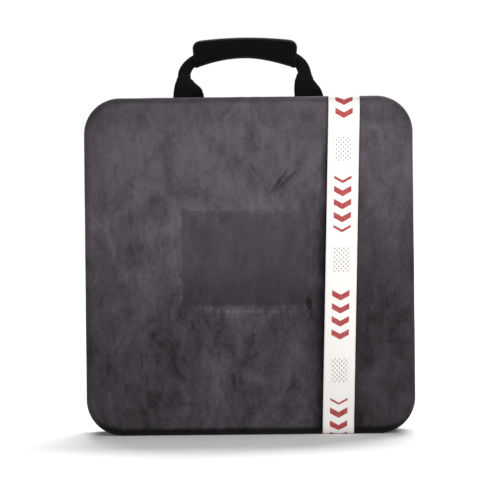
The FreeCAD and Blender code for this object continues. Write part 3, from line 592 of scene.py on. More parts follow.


# Rubbed marks and pale lines in the front's nap, with a painted highlight under the pressed rectangle, picked
# in the photograph and given in its pixels (column, row): one end and the other, half width and strength.
# A positive strength lies dark, a negative one is pale.
RUBBED_MARKS_AND_HIGHLIGHT = {
    "crossed stroke, steep": ((289.5, 167), (268.2, 196.3), 1.3, 0.55),
    "crossed stroke, leaning": ((300.4, 167.5), (273, 193), 1.3, 0.50),
    "short stroke beside the crossed ones": ((249.5, 162.5), (258.2, 176.5), 1.2, 0.34),
    "nick right of the crossed ones": ((310.5, 175.5), (316, 175), 1.0, 0.24),
    "long slanting line": ((166, 162), (198, 211), 0.9, 0.20),
    "faint line under the handle": ((243, 107), (251, 150), 2.4, 0.14),
    "spot high on the left": ((161, 147), (161.5, 153), 2.0, 0.24),
    "scuff on the left": ((129, 184), (139, 191), 1.1, 0.30),
    "upright line on the left": ((129, 192), (131, 270), 1.6, 0.12),
    "stroke left of the rectangle": ((163, 216), (154, 250), 1.3, 0.20),
    "nick in the rectangle's top": ((219.5, 216), (225.5, 223.5), 1.4, 0.28),
    "rub on the rectangle's right edge": ((307.5, 238), (309, 246), 2.4, 0.22),
    "upper rub inside on the left": ((201.6, 272), (201.5, 280), 1.5, 0.24),
    "lower rub inside on the left": ((200.8, 287), (200.3, 297), 2.0, 0.26),
    "rub on the rectangle's lower edge": ((213, 303.5), (219, 302.5), 2.2, 0.22),
    "dark spot at the lower right corner": ((308.5, 300), (309.5, 306), 3.0, 0.85),
    "tail of the dark spot": ((310, 306), (311, 319), 1.4, 0.45),
    "upright scratch low on the left": ((141, 351.5), (142.5, 371), 1.2, 0.46),
    "wide stroke low on the left": ((169, 339), (175.5, 354.5), 1.7, 0.30),
    "slanting scratch low on the left": ((181, 356), (190.5, 369), 1.2, 0.38),
    "spot between the two": ((168, 365), (171, 366), 1.7, 0.28),
    "spot left of the low middle": ((219.3, 351), (219.6, 356.5), 2.0, 0.34),
    "rising stroke in the low middle": ((247.5, 360.5), (256.5, 353.5), 1.5, 0.34),
    "dark patch in the low middle": ((232.5, 375), (234.2, 383), 2.6, 0.52),
    "foot of the dark patch": ((234, 384), (235, 389), 2.0, 0.34),
    "spot beside the dark patch": ((209.5, 378), (213, 378), 2.0, 0.26),
    "level stroke at the foot": ((179, 404.5), (200, 403.8), 1.8, 0.30),
    "rub on the lower edge, left": ((158, 420), (171, 419.5), 2.0, 0.26),
    "rub on the lower edge, right": ((300, 422), (312, 421), 2.4, 0.30),
    "rising stroke at the foot": ((285, 394), (298, 380), 1.2, 0.30),
    "level stroke right of the ribbon": ((383, 340.5), (413, 342), 2.2, 0.30),
    "patch right of the ribbon": ((391, 363), (395, 368), 3.0, 0.26),
    "pale strip left of the rectangle": ((168, 215), (173, 308), 5.0, -0.10),
    # Painted highlight along the lower edge of the pressed rectangle
    "painted highlight under the rectangle": ((200, 311.5), (296, 311.5), 1.6, -0.24),
    "pale line over the rectangle": ((231, 212.5), (304, 211.5), 1.8, -0.16),
    "pale cloud low on the left": ((150, 376), (156, 392), 6.0, -0.16),
    "pale cloud at the foot": ((216, 388), (217, 402), 6.0, -0.16),
    "pale cloud in the low middle": ((214, 360), (214.5, 368), 4.5, -0.12),
    "pale cloud high in the middle": ((262, 140), (240, 156), 5.0, -0.08),
}


def on_front(column, row):
    """Place (x, z) on the front of a point of the photograph: scaled about its middle, its roll undone."""
    across, up = (column - PHOTO_SIDE / 2) * PIXEL, (PHOTO_SIDE / 2 - row) * PIXEL
    return (VIEW_X + across * cos(VIEW_ROLL) + up * sin(VIEW_ROLL),
            VIEW_Z + up * cos(VIEW_ROLL) - across * sin(VIEW_ROLL))


def nap_marks():
    """The marks and painted highlight in metres, and short faint strokes, mostly steep, from a seeded draw.
    """
    # A mark fades towards its edge, so it is made wider than it looks
    fading = 1.35
    marks = [(label, (on_front(*start), on_front(*end), fading * half_wide * PIXEL, strength))
             for label, (start, end, half_wide, strength) in RUBBED_MARKS_AND_HIGHLIGHT.items()]
    draw = np.random.default_rng(71)
    for number in range(20):
        middle = draw.uniform((-0.168, 0.025), (0.168, 0.360))
        heading, run = radians(draw.normal(90, 30)), draw.uniform(0.004, 0.010)
        half = run * np.array([cos(heading), sin(heading)])
        marks.append((f"faint stroke {number + 1}",
                      (middle - half, middle + half, draw.uniform(0.0018, 0.0032), draw.uniform(0.14, 0.24))))
    return marks


def ribbon_middle(sizes, z):
    """How far right of the middle the ribbon's middle runs at a height: it leans a little."""
    head = TOP_Z + 0.01
    return sizes.ribbon_foot + (sizes.ribbon_top - sizes.ribbon_foot) / head * z


def broad_painted_shades(finish, x, z, fade):
    """Shares of painted shade over wide parts of the nap, and a paler patch where negative."""
    step = finish.soft_step
    return [
        # Painted shade towards the foot, and more so on the right
        0.41 * fade,
        0.20 * step(x, -0.02, 0.17) * step(z, 0.36, 0.18),
        0.10 * step(x, 0.10, 0.16) * step(z, 0.17, 0.09),
        # Paler low in the middle
        -0.24 * step(z, 0.156, 0.140) * step(abs(x - 0.01), 0.12, 0.03),
        # Painted shade under the upper edge, along the left edge and in the upper left corner
        0.05 * step(z, 0.356, 0.370),
        0.13 * step(z, 0.352, 0.364) * step(z, 0.384, 0.374),
        0.21 * step(x, -0.156, -0.174),
        0.17 * step(x, -0.03, -0.12) * step(z, 0.24, 0.33),
    ]


def outline_painted_shade(finish, sizes, x, z, patches):
    """Share of painted shade round the outline, most at the foot: the distance inwards from a rounded box."""
    corner = sizes.corner_radius
    past_x = abs(x) - (HALF_WIDTH - corner)
    past_z = abs(z - MID_Z) - (HALF_HEIGHT - corner)
    beyond = (past_x.most(0.0) ** 2 + past_z.most(0.0) ** 2) ** 0.5
    inset = corner - (beyond + past_x.most(past_z).least(0.0))
    head, foot = finish.soft_step(z, TOP_Z - 0.030, TOP_Z - 0.004), finish.soft_step(z, 0.024, 0.004)
    left = finish.soft_step(x, 0.12, -0.12)
    # Painted shade: strongest at the foot and on the left, and some under the top edge
    rim = 1 - finish.soft_step(inset + 0.0020 * (patches - 0.5) - 0.0030 * foot, 0.0025, 0.0090)
    return rim * (0.06 + 0.17 * left * (1 - foot) + 0.06 * head + 0.80 * foot)


def pressed_nap(finish, sizes, x, z, brushed):
    """1 where pressing has smoothed the nap, with an uneven edge, and 1 in the paler pile round it."""
    out_x = abs(x + sizes.mark_shift) - sizes.mark_width / 2
    out_z = abs(z - sizes.mark_lift) - sizes.mark_height / 2
    out = out_x.most(out_z)
    inside = 1 - finish.soft_step(out + 0.005 * (brushed - 0.5), -0.0020, 0.0014)
    # The pile outside the edge stands up, except towards the ribbon
    halo = finish.soft_step(out, 0.020, 0.003) * finish.soft_step(x, 0.062, 0.040)
    return inside, halo


def mark_shade(finish, place):
    """Share by which the marks darken the nap, or lighten it as the painted highlight does: a soft ball for
    each.
    """
    total = 0.0
    for label, ((x0, z0), (x1, z1), half_wide, strength) in nap_marks():
        middle = ((x0 + x1) / 2, FRONT_LOW[1], (z0 + z1) / 2)
        half_run = hypot(x1 - x0, z1 - z0) / 2 + half_wide
        rotation = (0, -atan2(z1 - z0, x1 - x0), 0)
        local = finish.mapped(place, middle, rotation, (half_run, 1.0, half_wide), "TEXTURE")
        ball = finish.node("ShaderNodeTexGradient", {"gradient_type": "SPHERICAL", "label": label},
                           {"Vector": local}, out="Fac")
        total = total + finish.soft_step(ball, 0.0, 0.42, strength)
    return total


def ribbon_painted_shadows(finish, sizes, x, z, brushed):
    """Shares of painted shadow beside the ribbon, most of all in the line against its left edge."""
    step = finish.soft_step
    beside = ribbon_middle(sizes, z) - x - sizes.ribbon_width / 2
    past = -sizes.ribbon_width - beside
    fuzzy = beside + 0.01 * (brushed - 0.5)
    narrow = 0.62 * step(z, 0.375, 0.33) * step(fuzzy, 0.011, 0.001)
    wide = 0.42 * step(z, 0.31, 0.22) * step(fuzzy, 0.024, 0.004)
    line = 0.45 * step(beside, 0.0036, 0.0015)
    strip = 1 - (1 - narrow) * (1 - wide) * (1 - line)
    further = 0.24 * step(z, 0.30, 0.26) * step(past, 0.024, 0.003)
    return [strip * step(beside, -0.004, -0.002), further * step(past, -0.004, -0.002),
            0.35 * step(abs(past), 0.0024, 0.001)]


def suede_finish(name, sizes, colours, front):
    """Brushed nap: clouds of lighter and darker pile, painted shade, rubbed marks and fine fibres."""
    finish = Finish(name)
    place = finish.place()
    x, y, z = finish.split(place)
    lining = finish.ramp(finish.cloth()[0], 0.4, 0.6)
    leaning = finish.mapped(place, rotation=(0, radians(-20), 0), scale=(1.0, 1.0, 0.7))
    stroked = finish.mapped(place, rotation=(0, radians(18), 0), scale=(1.0, 1.0, 0.42))
    clouds = finish.noise(place, 9.0, 3.0, 0.6, 0.8)
    patches = finish.noise(leaning, 30.0, 3.0, 0.6, 1.2)
    brushed = finish.noise(stroked, 75.0, 4.0, 0.65, 1.0)
    flecks = finish.noise(place, 230.0, 3.0, 0.6, 0.4)
    fibres = finish.noise(finish.mapped(place, scale=(1.0, 1.0, 0.55)), 1500.0, 2.0, 0.6)
    mottle = (0.70 * (clouds - 0.5) + 0.85 * (patches - 0.5) + 0.62 * (brushed - 0.5) + 0.42 * (flecks - 0.5)
              + 0.22 * (fibres - 0.5))
    # The nap is more uneven towards the foot
    fade = finish.soft_step(z, 0.36, 0.08)
    mottle = 1.28 * mottle * (1 + 0.45 * fade)
    # Painted shade over wide parts and round the outline
    shades = [*broad_painted_shades(finish, x, z, fade), outline_painted_shade(finish, sizes, x, z, patches)]
    if front:
        on_face = 1 - finish.soft_step(y, FRONT_LOW[1] + 0.008, FRONT_LOW[1] + 0.014)
        inside, halo = pressed_nap(finish, sizes, x, z, brushed)
        inside = inside * on_face
        mottle = mottle * (1 - 0.45 * inside)
        ragged = finish.soft_step(flecks + 0.6 * brushed, 0.60, 0.95)
        # Beside the ribbon, painted shadow
        shades += [-0.14 * halo * (1 - inside), 0.15 * inside,
                   0.14 * inside * finish.soft_step(z, 0.20, 0.16),
                   mark_shade(finish, place) * (0.45 + 0.55 * ragged) * on_face,
                   *ribbon_painted_shadows(finish, sizes, x, z, brushed)]
    tone = 1 + mottle
    for shade in shades:
        tone = tone * (1 - shade)
    pile = finish.shade(colours.suede, tone.most(0.05))
    knit = finish.node("ShaderNodeTexVoronoi", None, {"Vector": place, "Scale": 900.0}, out="Distance")
    inner = finish.shade(colours.lining, 0.7 + 0.6 * knit)
    height = 0.5 * fibres + 0.9 * flecks + 0.8 * brushed
    return finish.surface(Base_Color=finish.mix(lining, pile, inner), Roughness=0.92 + 0.06 * (flecks - 0.5),
                          Sheen_Weight=0.06, Sheen_Roughness=0.45, Sheen_Tint=(0.80, 0.77, 0.82),
                          Specular_IOR_Level=0.10, Normal=finish.bump(height, 0.00045, 0.6))


def woven_finish(name, tone, pitch_across, pitch_along, depth, roughness=0.82):
    """A plain weave on the cloth's own coordinates: threads that rise and dip in turn, with some fluff."""
    finish = Finish(name)
    u, v = finish.cloth()
    warp = (u * (2 * pi / pitch_across)).sine()
    weft = (v * (2 * pi / pitch_along)).sine()
    weave = 0.5 + 0.5 * warp * weft
    fluff = finish.noise(finish.place(), 900.0, 2.0, 0.6)
    worn = finish.noise(finish.place(), 45.0, 3.0, 0.55)
    tint = finish.shade(tone, 0.55 + 0.55 * weave + 0.35 * (fluff - 0.5) + 0.5 * (worn - 0.5))
    return finish.surface(Base_Color=tint, Roughness=roughness + 0.12 * (fluff - 0.5), Sheen_Weight=0.03,
                          Sheen_Roughness=0.5, Specular_IOR_Level=0.15,
                          Normal=finish.bump(weave + 0.4 * fluff, depth, 0.8))


def thread_finish(name, colours):
    """Sewing thread: a fine, low weave with some gloss."""
    return woven_finish(name, colours.thread, 0.0006, 0.0006, 0.00008, 0.6)


def ribbon_finish(sizes, colours):
    """Woven ribbon: fine ribs, firm edges, and groups of chevrons with a lattice of small diamonds."""
    finish = Finish("ribbon_cloth")
    u, v = finish.cloth()
    repeat, rise, bar_pitch, diamond_pitch, half_field = 0.128, 0.55, 0.0150, 0.0052, 0.0098
    bent = v + rise * abs(u)
    beat = (bent % repeat) / repeat
    bars = abs((bent / bar_pitch) % 1.0 - 0.5)
    weave_noise = finish.noise(finish.place(), 420.0, 2.0, 0.6)
    wander = 0.03 * (weave_noise - 0.5)
    field = 1 - finish.soft_step(abs(u), half_field, half_field + 0.0005)
    chevrons = (finish.soft_step(bars + wander, 0.265, 0.29) * field
                * finish.soft_step(beat, 0.052, 0.056) * (1 - finish.soft_step(beat, 0.520, 0.524)))
    first = abs(((u + v) / diamond_pitch) % 1.0 - 0.5)
    second = abs(((u - v) / diamond_pitch) % 1.0 - 0.5)
    flat_beat = (v % repeat) / repeat
    lattice = (1 - finish.soft_step(first.most(second) + wander, 0.19, 0.235)) * field
    diamonds = (lattice * finish.soft_step(flat_beat, 0.655, 0.660)
                * (1 - finish.soft_step(flat_beat, 0.875, 0.880)))
    hem = finish.soft_step(abs(u), sizes.ribbon_width / 2 - 0.0016, sizes.ribbon_width / 2 - 0.0012)
    ribs = (v * (2 * pi / 0.0009)).sine()
    warp = (u * (2 * pi / 0.0008)).sine()
    weave = 0.5 + 0.25 * ribs + 0.25 * warp
    soil = finish.noise(finish.place(), 30.0, 3.0, 0.6)
    print_wear = 0.94 + 0.3 * (weave_noise - 0.5)
    ground = finish.shade(colours.ribbon, 0.90 + 0.10 * weave + 0.12 * (soil - 0.5) - 0.05 * hem)
    tinted = finish.mix(chevrons * print_wear, ground, colours.chevron)
    tinted = finish.mix(diamonds * print_wear, tinted, colours.diamond)
    return finish.surface(Base_Color=tinted, Roughness=0.62 + 0.1 * (weave_noise - 0.5), Sheen_Weight=0.08,
                          Specular_IOR_Level=0.30, Normal=finish.bump(weave + 0.6 * hem, 0.00012, 0.6))


def mesh_finish(sizes, colours):
    """Knitted mesh: round holes on a hexagon lattice, from three cosines 120 degrees apart."""
    finish = Finish("pocket_mesh")
    u, v = finish.cloth()
    k = 2 * pi / (sizes.mesh_pitch * sin(pi / 3))
    lattice = ((k * v).cosine() + (k * (u * sin(pi / 3) - v * 0.5)).cosine()
               + (k * (u * -sin(pi / 3) - v * 0.5)).cosine())
    thread = 1 - finish.soft_step(lattice, -0.15, 0.25)
    fluff = finish.noise(finish.place(), 1100.0, 2.0, 0.6)
    tint = finish.shade(colours.mesh, 0.7 + 0.6 * fluff)
    return finish.surface(Base_Color=tint, Roughness=0.78 + 0.1 * (fluff - 0.5), Alpha=thread,
                          Sheen_Weight=0.1, Specular_IOR_Level=0.3,
                          Normal=finish.bump(thread - 0.3 * lattice, 0.0003, 0.7))


def foam_finish(colours):
    """Foam with a brushed face: fine pores and a faint cloudiness."""
    finish = Finish("foam_tray")
    place = finish.place()
    pores = finish.node("ShaderNodeTexVoronoi", None, {"Vector": place, "Scale": 620.0}, out="Distance")
    fluff = finish.noise(place, 1300.0, 2.0, 0.6)
    clouds = finish.noise(place, 24.0, 3.0, 0.55)
    tint = finish.shade(colours.foam, 0.55 + 0.5 * pores + 0.5 * (fluff - 0.5) + 0.5 * clouds)
    return finish.surface(Base_Color=tint, Roughness=0.93 + 0.06 * (fluff - 0.5), Sheen_Weight=0.2,
                          Sheen_Roughness=0.5, Specular_IOR_Level=0.15,
                          Normal=finish.bump(pores + 0.5 * fluff, 0.0003, 0.5))


def grip_finish(colours):
    """Close knitted cover: small diagonal ribs on the cloth's coordinates, fluff and worn patches."""
    finish = Finish("grip_cover")
    u, v = finish.cloth()
    place = finish.place()
    ribs = ((u + v) * (2 * pi / 0.0013)).sine() * ((u - v) * (2 * pi / 0.0013)).sine()
    fluff = finish.noise(place, 900.0, 2.0, 0.6)
    worn = finish.noise(place, 38.0, 3.0, 0.55)
    tint = finish.shade(colours.grip, 0.75 + 0.25 * ribs + 0.4 * (fluff - 0.5) + 0.8 * (worn - 0.35))
    return finish.surface(Base_Color=tint, Roughness=0.86 + 0.12 * (fluff - 0.5), Sheen_Weight=0.03,
                          Sheen_Roughness=0.5, Specular_IOR_Level=0.10,
                          Normal=finish.bump(0.5 * ribs + fluff, 0.00022, 0.6))


def teeth_finish(colours):
    """Moulded coil: smooth dark plastic with faint scratches."""
    finish = Finish("zip_teeth")
    scratch = finish.noise(finish.mapped(finish.place(), scale=(1.0, 6.0, 1.0)), 300.0, 3.0, 0.6)
    tint = finish.shade(colours.teeth, 0.75 + 0.5 * scratch)
    return finish.surface(Base_Color=tint, Roughness=0.34 + 0.25 * scratch, Specular_IOR_Level=0.45,
                          Normal=finish.bump(scratch, 0.00006, 0.4))


def metal_finish(colours):
    """Plated metal: fine brushing and a cloudy gloss."""
    finish = Finish("slider_metal")
    place = finish.place()
    brushed = finish.noise(finish.mapped(place, scale=(1.0, 9.0, 1.0)), 420.0, 3.0, 0.6)
    clouds = finish.noise(place, 130.0, 3.0, 0.55)
    tint = finish.shade(colours.metal, 0.7 + 0.6 * clouds)
    return finish.surface(Base_Color=tint, Metallic=0.9,
                          Roughness=0.28 + 0.22 * brushed + 0.15 * (clouds - 0.5),
                          Normal=finish.bump(brushed + 0.6 * clouds, 0.00005, 0.4))


def bag_settings():
    """The scene's sizes and colours of the bag."""
    return bpy.context.scene.bag_sizes, bpy.context.scene.bag_colours


class BAG_OT_front_shell(bpy.types.Operator):
    """Makes the front half: a crowned suede face, a pressed rectangle, rounded edges and a lined inside"""
    bl_idname = "bag.front_shell"
    bl_label = "Front shell"

    def execute(self, context):
        sizes, colours = bag_settings()
        piece = shell(sizes, True, 152).build("front_cover")
        dress(piece, "lid", "suede_fabric", suede_finish("front_suede", sizes, colours, True), "front_shell")
        return {"FINISHED"}


class BAG_OT_rear_shell(bpy.types.Operator):
    """Makes the deeper rear half in plain suede"""
    bl_idname = "bag.rear_shell"
    bl_label = "Rear shell"

    def execute(self, context):
        sizes, colours = bag_settings()
        piece = shell(sizes, False, 112).build("rear_cover")
        dress(piece, "base", "suede_fabric", suede_finish("rear_suede", sizes, colours, False), "rear_shell")
        return {"FINISHED"}


class BAG_OT_piping(bpy.types.Operator):
    """Makes the piping on both rims: a tube along the rim, and a row of stitches on the wall beside it"""
    bl_idname = "bag.piping"
    bl_label = "Piping"

    def execute(self, context):
        sizes, colours = bag_settings()
        cord_cloth = woven_finish("piping_cloth", colours.piping, 0.0011, 0.0011, 0.00015)
        thread = thread_finish("thread", colours)
        radius = sizes.piping_radius
        section = oval(radius, radius, 1.0, 16)
        girth = np.linspace(0, 2 * pi * radius, len(section))
        seam_inset, seam_back = 0.0002, 0.0042
        for label, body, rim, into in (("front", "lid", FRONT_HIGH[1], 1), ("rear", "base", REAR_LOW[1], -1)):
            path, _, normals, along = rim_path(sizes, radius, rim + into * radius, RIM_STEP)
            tube = Surface()
            sweep(tube, path, section, normals, DEPTHWISE, along, girth)
            dress(tube.build(label + "_piping_cord"), body, "piping", cord_cloth, label + "_piping")
            seam = Surface()
            line, _, out, _ = rim_path(sizes, seam_inset, rim - into * seam_back, RIM_STEP)
            stitch_row(seam, sizes, line, out)
            dress(seam.build(label + "_rim_stitches"), body, "piping", thread)
        return {"FINISHED"}


class BAG_OT_zip(bpy.types.Operator):
    """Makes the zip: two woven tapes inside the rims and two rows of coil teeth"""
    bl_idname = "bag.zip"
    bl_label = "Zip"

    def execute(self, context):
        sizes, colours = bag_settings()
        cloth = woven_finish("zip_tape_cloth", colours.tape, 0.0012, 0.0009, 0.00012)
        plastic = teeth_finish(colours)
        for label, body, half_step in (("front", "lid", 0.0), ("rear", "base", 0.5)):
            tape = self.tape(sizes, *node_box(label + "_zip_tape"))
            dress(tape.build(label + "_tape"), body, "zip_tape", cloth, label + "_zip_tape")
            row = self.teeth(sizes, half_step, *node_box(label + "_zip_teeth"))
            dress(row.build(label + "_teeth"), body, "zip_teeth", plastic, label + "_zip_teeth")
        return {"FINISHED"}

    def tape(self, sizes, low, high):
        """A flat, nearly square section carried along the rim, against the inside of the wall."""
        thick, mid_y = sizes.tape_thick, (low[1] + high[1]) / 2
        path, _, normals, along = rim_path(sizes, sizes.wall + thick / 2, mid_y, RIM_STEP)
        thinner, squareness = 0.96, 0.12
        section = oval((high[1] - low[1]) / 2, thinner * thick / 2, squareness, 24)
        tape = Surface()
        sweep(tape, path, section, DEPTHWISE, normals, along, section[:, 0])
        return tape

    def teeth(self, sizes, half_step, low, high):
        """A row of rounded teeth along the rim; past the sliders' run they reach over the zip's middle."""
        pitch = sizes.tooth_pitch
        centre_y, half = (low[1] + high[1]) / 2, (high[1] - low[1]) / 2
        line, tangents, normals, _ = rim_path(sizes, sizes.wall - sizes.tooth_height / 2, centre_y, pitch)
        centres = (line + tangents * half_step * pitch)[1:-1]
        # Where the closed rows mesh, each tooth lies between two others
        closing_run, spare = 0.010, 0.0001
        closed = smooth((np.abs(centres[:, 0]) - HALF_WIDTH + sizes.corner_radius) / closing_run)
        reach = closed * (abs(ZIP_Y - centre_y) - half + sizes.tooth_mesh) / 2 + spare * (1 - closed)
        centres[:, 1] += np.sign(ZIP_Y - centre_y) * reach
        row = Surface()
        row.grid(beads(centres, DEPTHWISE, normals[1:-1],
                       (half + reach, sizes.tooth_width / 2, sizes.tooth_height / 2),
                       power=0.62, columns=8))
        return row


class BAG_OT_hinge(bpy.types.Operator):
    """Makes the hinge cloth along the bottom: a flat slab with fine ribs between the halves"""
    bl_idname = "bag.hinge"
    bl_label = "Hinge cloth"

    def execute(self, context):
        _, colours = bag_settings()
        low, high = node_box("hinge_gusset")
        y = np.linspace(low[1], high[1], 33)
        rib_height, rib_pitch, inside = 0.00012, 0.0055, 0.00015
        rib = rib_height * np.sin(2 * pi * (y - low[1]) / rib_pitch)
        top = np.stack([y, high[2] - inside + rib], axis=-1)
        foot = np.stack([y, low[2] + inside + rib], axis=-1)
        section = np.concatenate([top, foot[::-1], top[:1]])
        x = np.linspace(low[0], high[0], 60)
        slab = Surface()
        sweep(slab, np.stack([x, 0 * x, 0 * x], axis=-1), section, DEPTHWISE, UPWARDS, x, section[:, 0])
        piece = slab.build("hinge_cloth")
        piece.data.materials.append(woven_finish("hinge_cloth", colours.tape, 0.0012, 0.0010, 0.00014))
        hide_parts("hinge_gusset")
        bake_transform(piece)
        return {"FINISHED"}


class BAG_OT_ribbon(bpy.types.Operator):
    """Makes the ribbon: a thin slab that follows the front's section from the top rim down to its foot"""
    bl_idname = "bag.ribbon"
    bl_label = "Ribbon"

    def execute(self, context):
        sizes, colours = bag_settings()
        edge, apex = sizes.edge_radius, FRONT_LOW[1]
        half = sizes.ribbon_width / 2
        columns = 25
        share = np.linspace(-1, 1, columns)
        rim_gap, edge_gap, skin_gap, foot_turn = 0.0006, 0.0004, 0.0001, radians(68)
        # Rows over the top wall, round the edge, down the face and round the lower edge
        wall_y = np.linspace(FRONT_HIGH[1] - rim_gap, apex + edge + sizes.face_crown + edge_gap, 10)
        upper = np.linspace(pi / 2, 0, 16)
        face_z = np.linspace(HALF_HEIGHT - edge, edge - HALF_HEIGHT, 130)[1:-1]
        lower = np.linspace(0, foot_turn, 14)

        def side(height):
            """The ribbon's outer or inner face, that far off the front's skin."""
            def row_x(z):
                return ribbon_middle(sizes, z + MID_Z)[:, None] + half * share

            def around(angle, sign):
                """A part of the rounded edge: an arc that much wider than the edge itself."""
                x = row_x(np.full(len(angle), sign * (HALF_HEIGHT - edge)))
                z = sign * (HALF_HEIGHT - edge + (edge + height) * np.sin(angle))[:, None] + 0 * x
                fall = crown(x, sign * (HALF_HEIGHT - edge) + 0 * x, sizes)
                y = apex + fall + edge - (edge + height) * np.cos(angle)[:, None]
                return np.stack([x, y, z + MID_Z], -1)

            x = row_x(np.full(len(wall_y), HALF_HEIGHT))
            top = np.stack([x, wall_y[:, None] + 0 * x, TOP_Z + height + 0 * x], -1)
            x = row_x(face_z)
            z = face_z[:, None] + 0 * x
            face = np.stack([x, apex + face_relief(x, z, sizes, True) - height, z + MID_Z], -1)
            return np.concatenate([top, around(upper, 1), face, around(lower, -1)])

        outer, inner = side(sizes.ribbon_thick), side(skin_gap)
        along = lengths_along(outer[:, columns // 2])[:, None]
        across = half * share
        band = Surface()
        band.grid(outer, across, along)
        band.grid(inner, across, along)
        for column in (0, -1):
            band.grid(np.stack([outer[:, column], inner[:, column]], axis=1), across[column], along)
        for row in (0, -1):
            band.grid(np.stack([outer[row], inner[row]]), across, along[row])
        piece = band.build("front_ribbon")
        dress(piece, "lid", "ribbon", ribbon_finish(sizes, colours), "front_band")
        return {"FINISHED"}


def strap_points(sizes, left):
    """Middle line of one leg from its sewn tab up into the grip, and its spread: 1 flat, 0 folded in three.

    The line runs along the top wall, turns up in a small arc and passes through a few places whose heights
    are shares of the grip's rise; a cubic through each four neighbours rounds it.
    """
    shift = sizes.handle_shift * (1 if left else -1)
    root, top = sizes.strap_root, TOP_Z + sizes.strap_thick / 2
    rise = (GRIP_LOW[2] + GRIP_HIGH[2]) / 2 - TOP_Z
    y = HANDLE_Y
    bend = 0.004
    stops = np.array([
        # outwards, depth, height
        (root, y + sizes.tab_length, top), (root, y + 0.6 * sizes.tab_length, top),
        (root, y + 0.2 * sizes.tab_length, top), (root, y + bend / 3, top + bend / 4),
        (root + 0.1 * shift, y, top + bend), (root + 0.35 * shift, y, top + 0.12 * rise),
        (root + 0.75 * shift, y, top + 0.19 * rise), (root + 1.1 * shift, y, top + 0.27 * rise),
        (root + 1.3 * shift, y, top + 0.35 * rise), (root + 1.35 * shift, y, top + 0.44 * rise),
        (root - 0.0010 + 1.25 * shift, y, top + 0.56 * rise),
        (root - 0.0060 + 1.1 * shift, y, top + 0.70 * rise), (root - 0.0155 + shift, y, top + 0.82 * rise),
        (root - 0.0300 + shift, y, top + 0.91 * rise),
    ])
    padded = np.concatenate([2 * stops[:1] - stops[1:2], stops, 2 * stops[-1:] - stops[-2:-1]])
    place = np.linspace(0, len(stops) - 1, 120)
    at = np.minimum(place.astype(int), len(stops) - 2)
    t = (place - at)[:, None]
    p0, p1, p2, p3 = padded[at], padded[at + 1], padded[at + 2], padded[at + 3]
    curve = 0.5 * (2 * p1 + (p2 - p0) * t + (2 * p0 - 5 * p1 + 4 * p2 - p3) * t ** 2
                   + (3 * p1 - p0 - 3 * p2 + p3) * t ** 3)
    side = -1 if left else 1
    # Shares of the rise between which the webbing folds up, and the run in which its tab is level
    start, end = (0.07, 0.45) if left else (-0.06, 0.54)
    level_run = 0.012
    spread = np.clip((end - (curve[:, 2] - top) / rise) / (end - start), 0, 1)
    level = np.maximum(spread, smooth((curve[:, 1] - y) / level_run))
    spread = np.where(curve[:, 1] > y + bend / 2, level, spread)
    return curve * [side, 1, 1], spread


def folded_sections(sizes, spread):
    """Sections of webbing whose sides are folded over behind it; `spread` is 1 where it is flat, 0 in three.

    Across the webbing the section runs level to the fold, round it in half a circle and level back behind;
    the fold moves inwards as the webbing narrows, and one side lies behind the other.
    """
    half, thick = sizes.strap_width / 2, sizes.strap_thick
    q = np.linspace(-half, half, 65)
    closing = np.maximum(smooth((1 - spread[:, None]) / 0.4), 0.01)
    # Radius of each fold in thicknesses: one side lies against the webbing, the other behind that side
    near, far = 0.54, 1.08
    bend = np.where(q > 0, near, far)[None, :] * thick * closing
    fold = sizes.strap_fold / 2 + (half - sizes.strap_fold / 2) * spread[:, None] - bend
    past = np.maximum(np.abs(q) - fold, 0)
    angle = np.minimum(past / bend, pi)
    level, behind = np.minimum(np.abs(q), fold), np.maximum(past - pi * bend, 0)
    across = np.sign(q) * (level + bend * np.sin(angle) - behind)
    middle = np.stack([across, bend * (1 - np.cos(angle))], axis=-1)
    tangent = unit(np.gradient(middle, axis=1))
    normal = np.stack([-tangent[..., 1], tangent[..., 0]], axis=-1) * thick / 2
    ends = np.minimum(1.0, (half - np.abs(q)) / (thick * 0.35) + 0.35)[None, :, None]
    loop = np.concatenate([middle + normal * ends, (middle - normal * ends)[:, ::-1]], axis=1)
    coords = np.concatenate([q, q[::-1], q[:1]])
    return np.concatenate([loop, loop[:, :1]], axis=1), coords


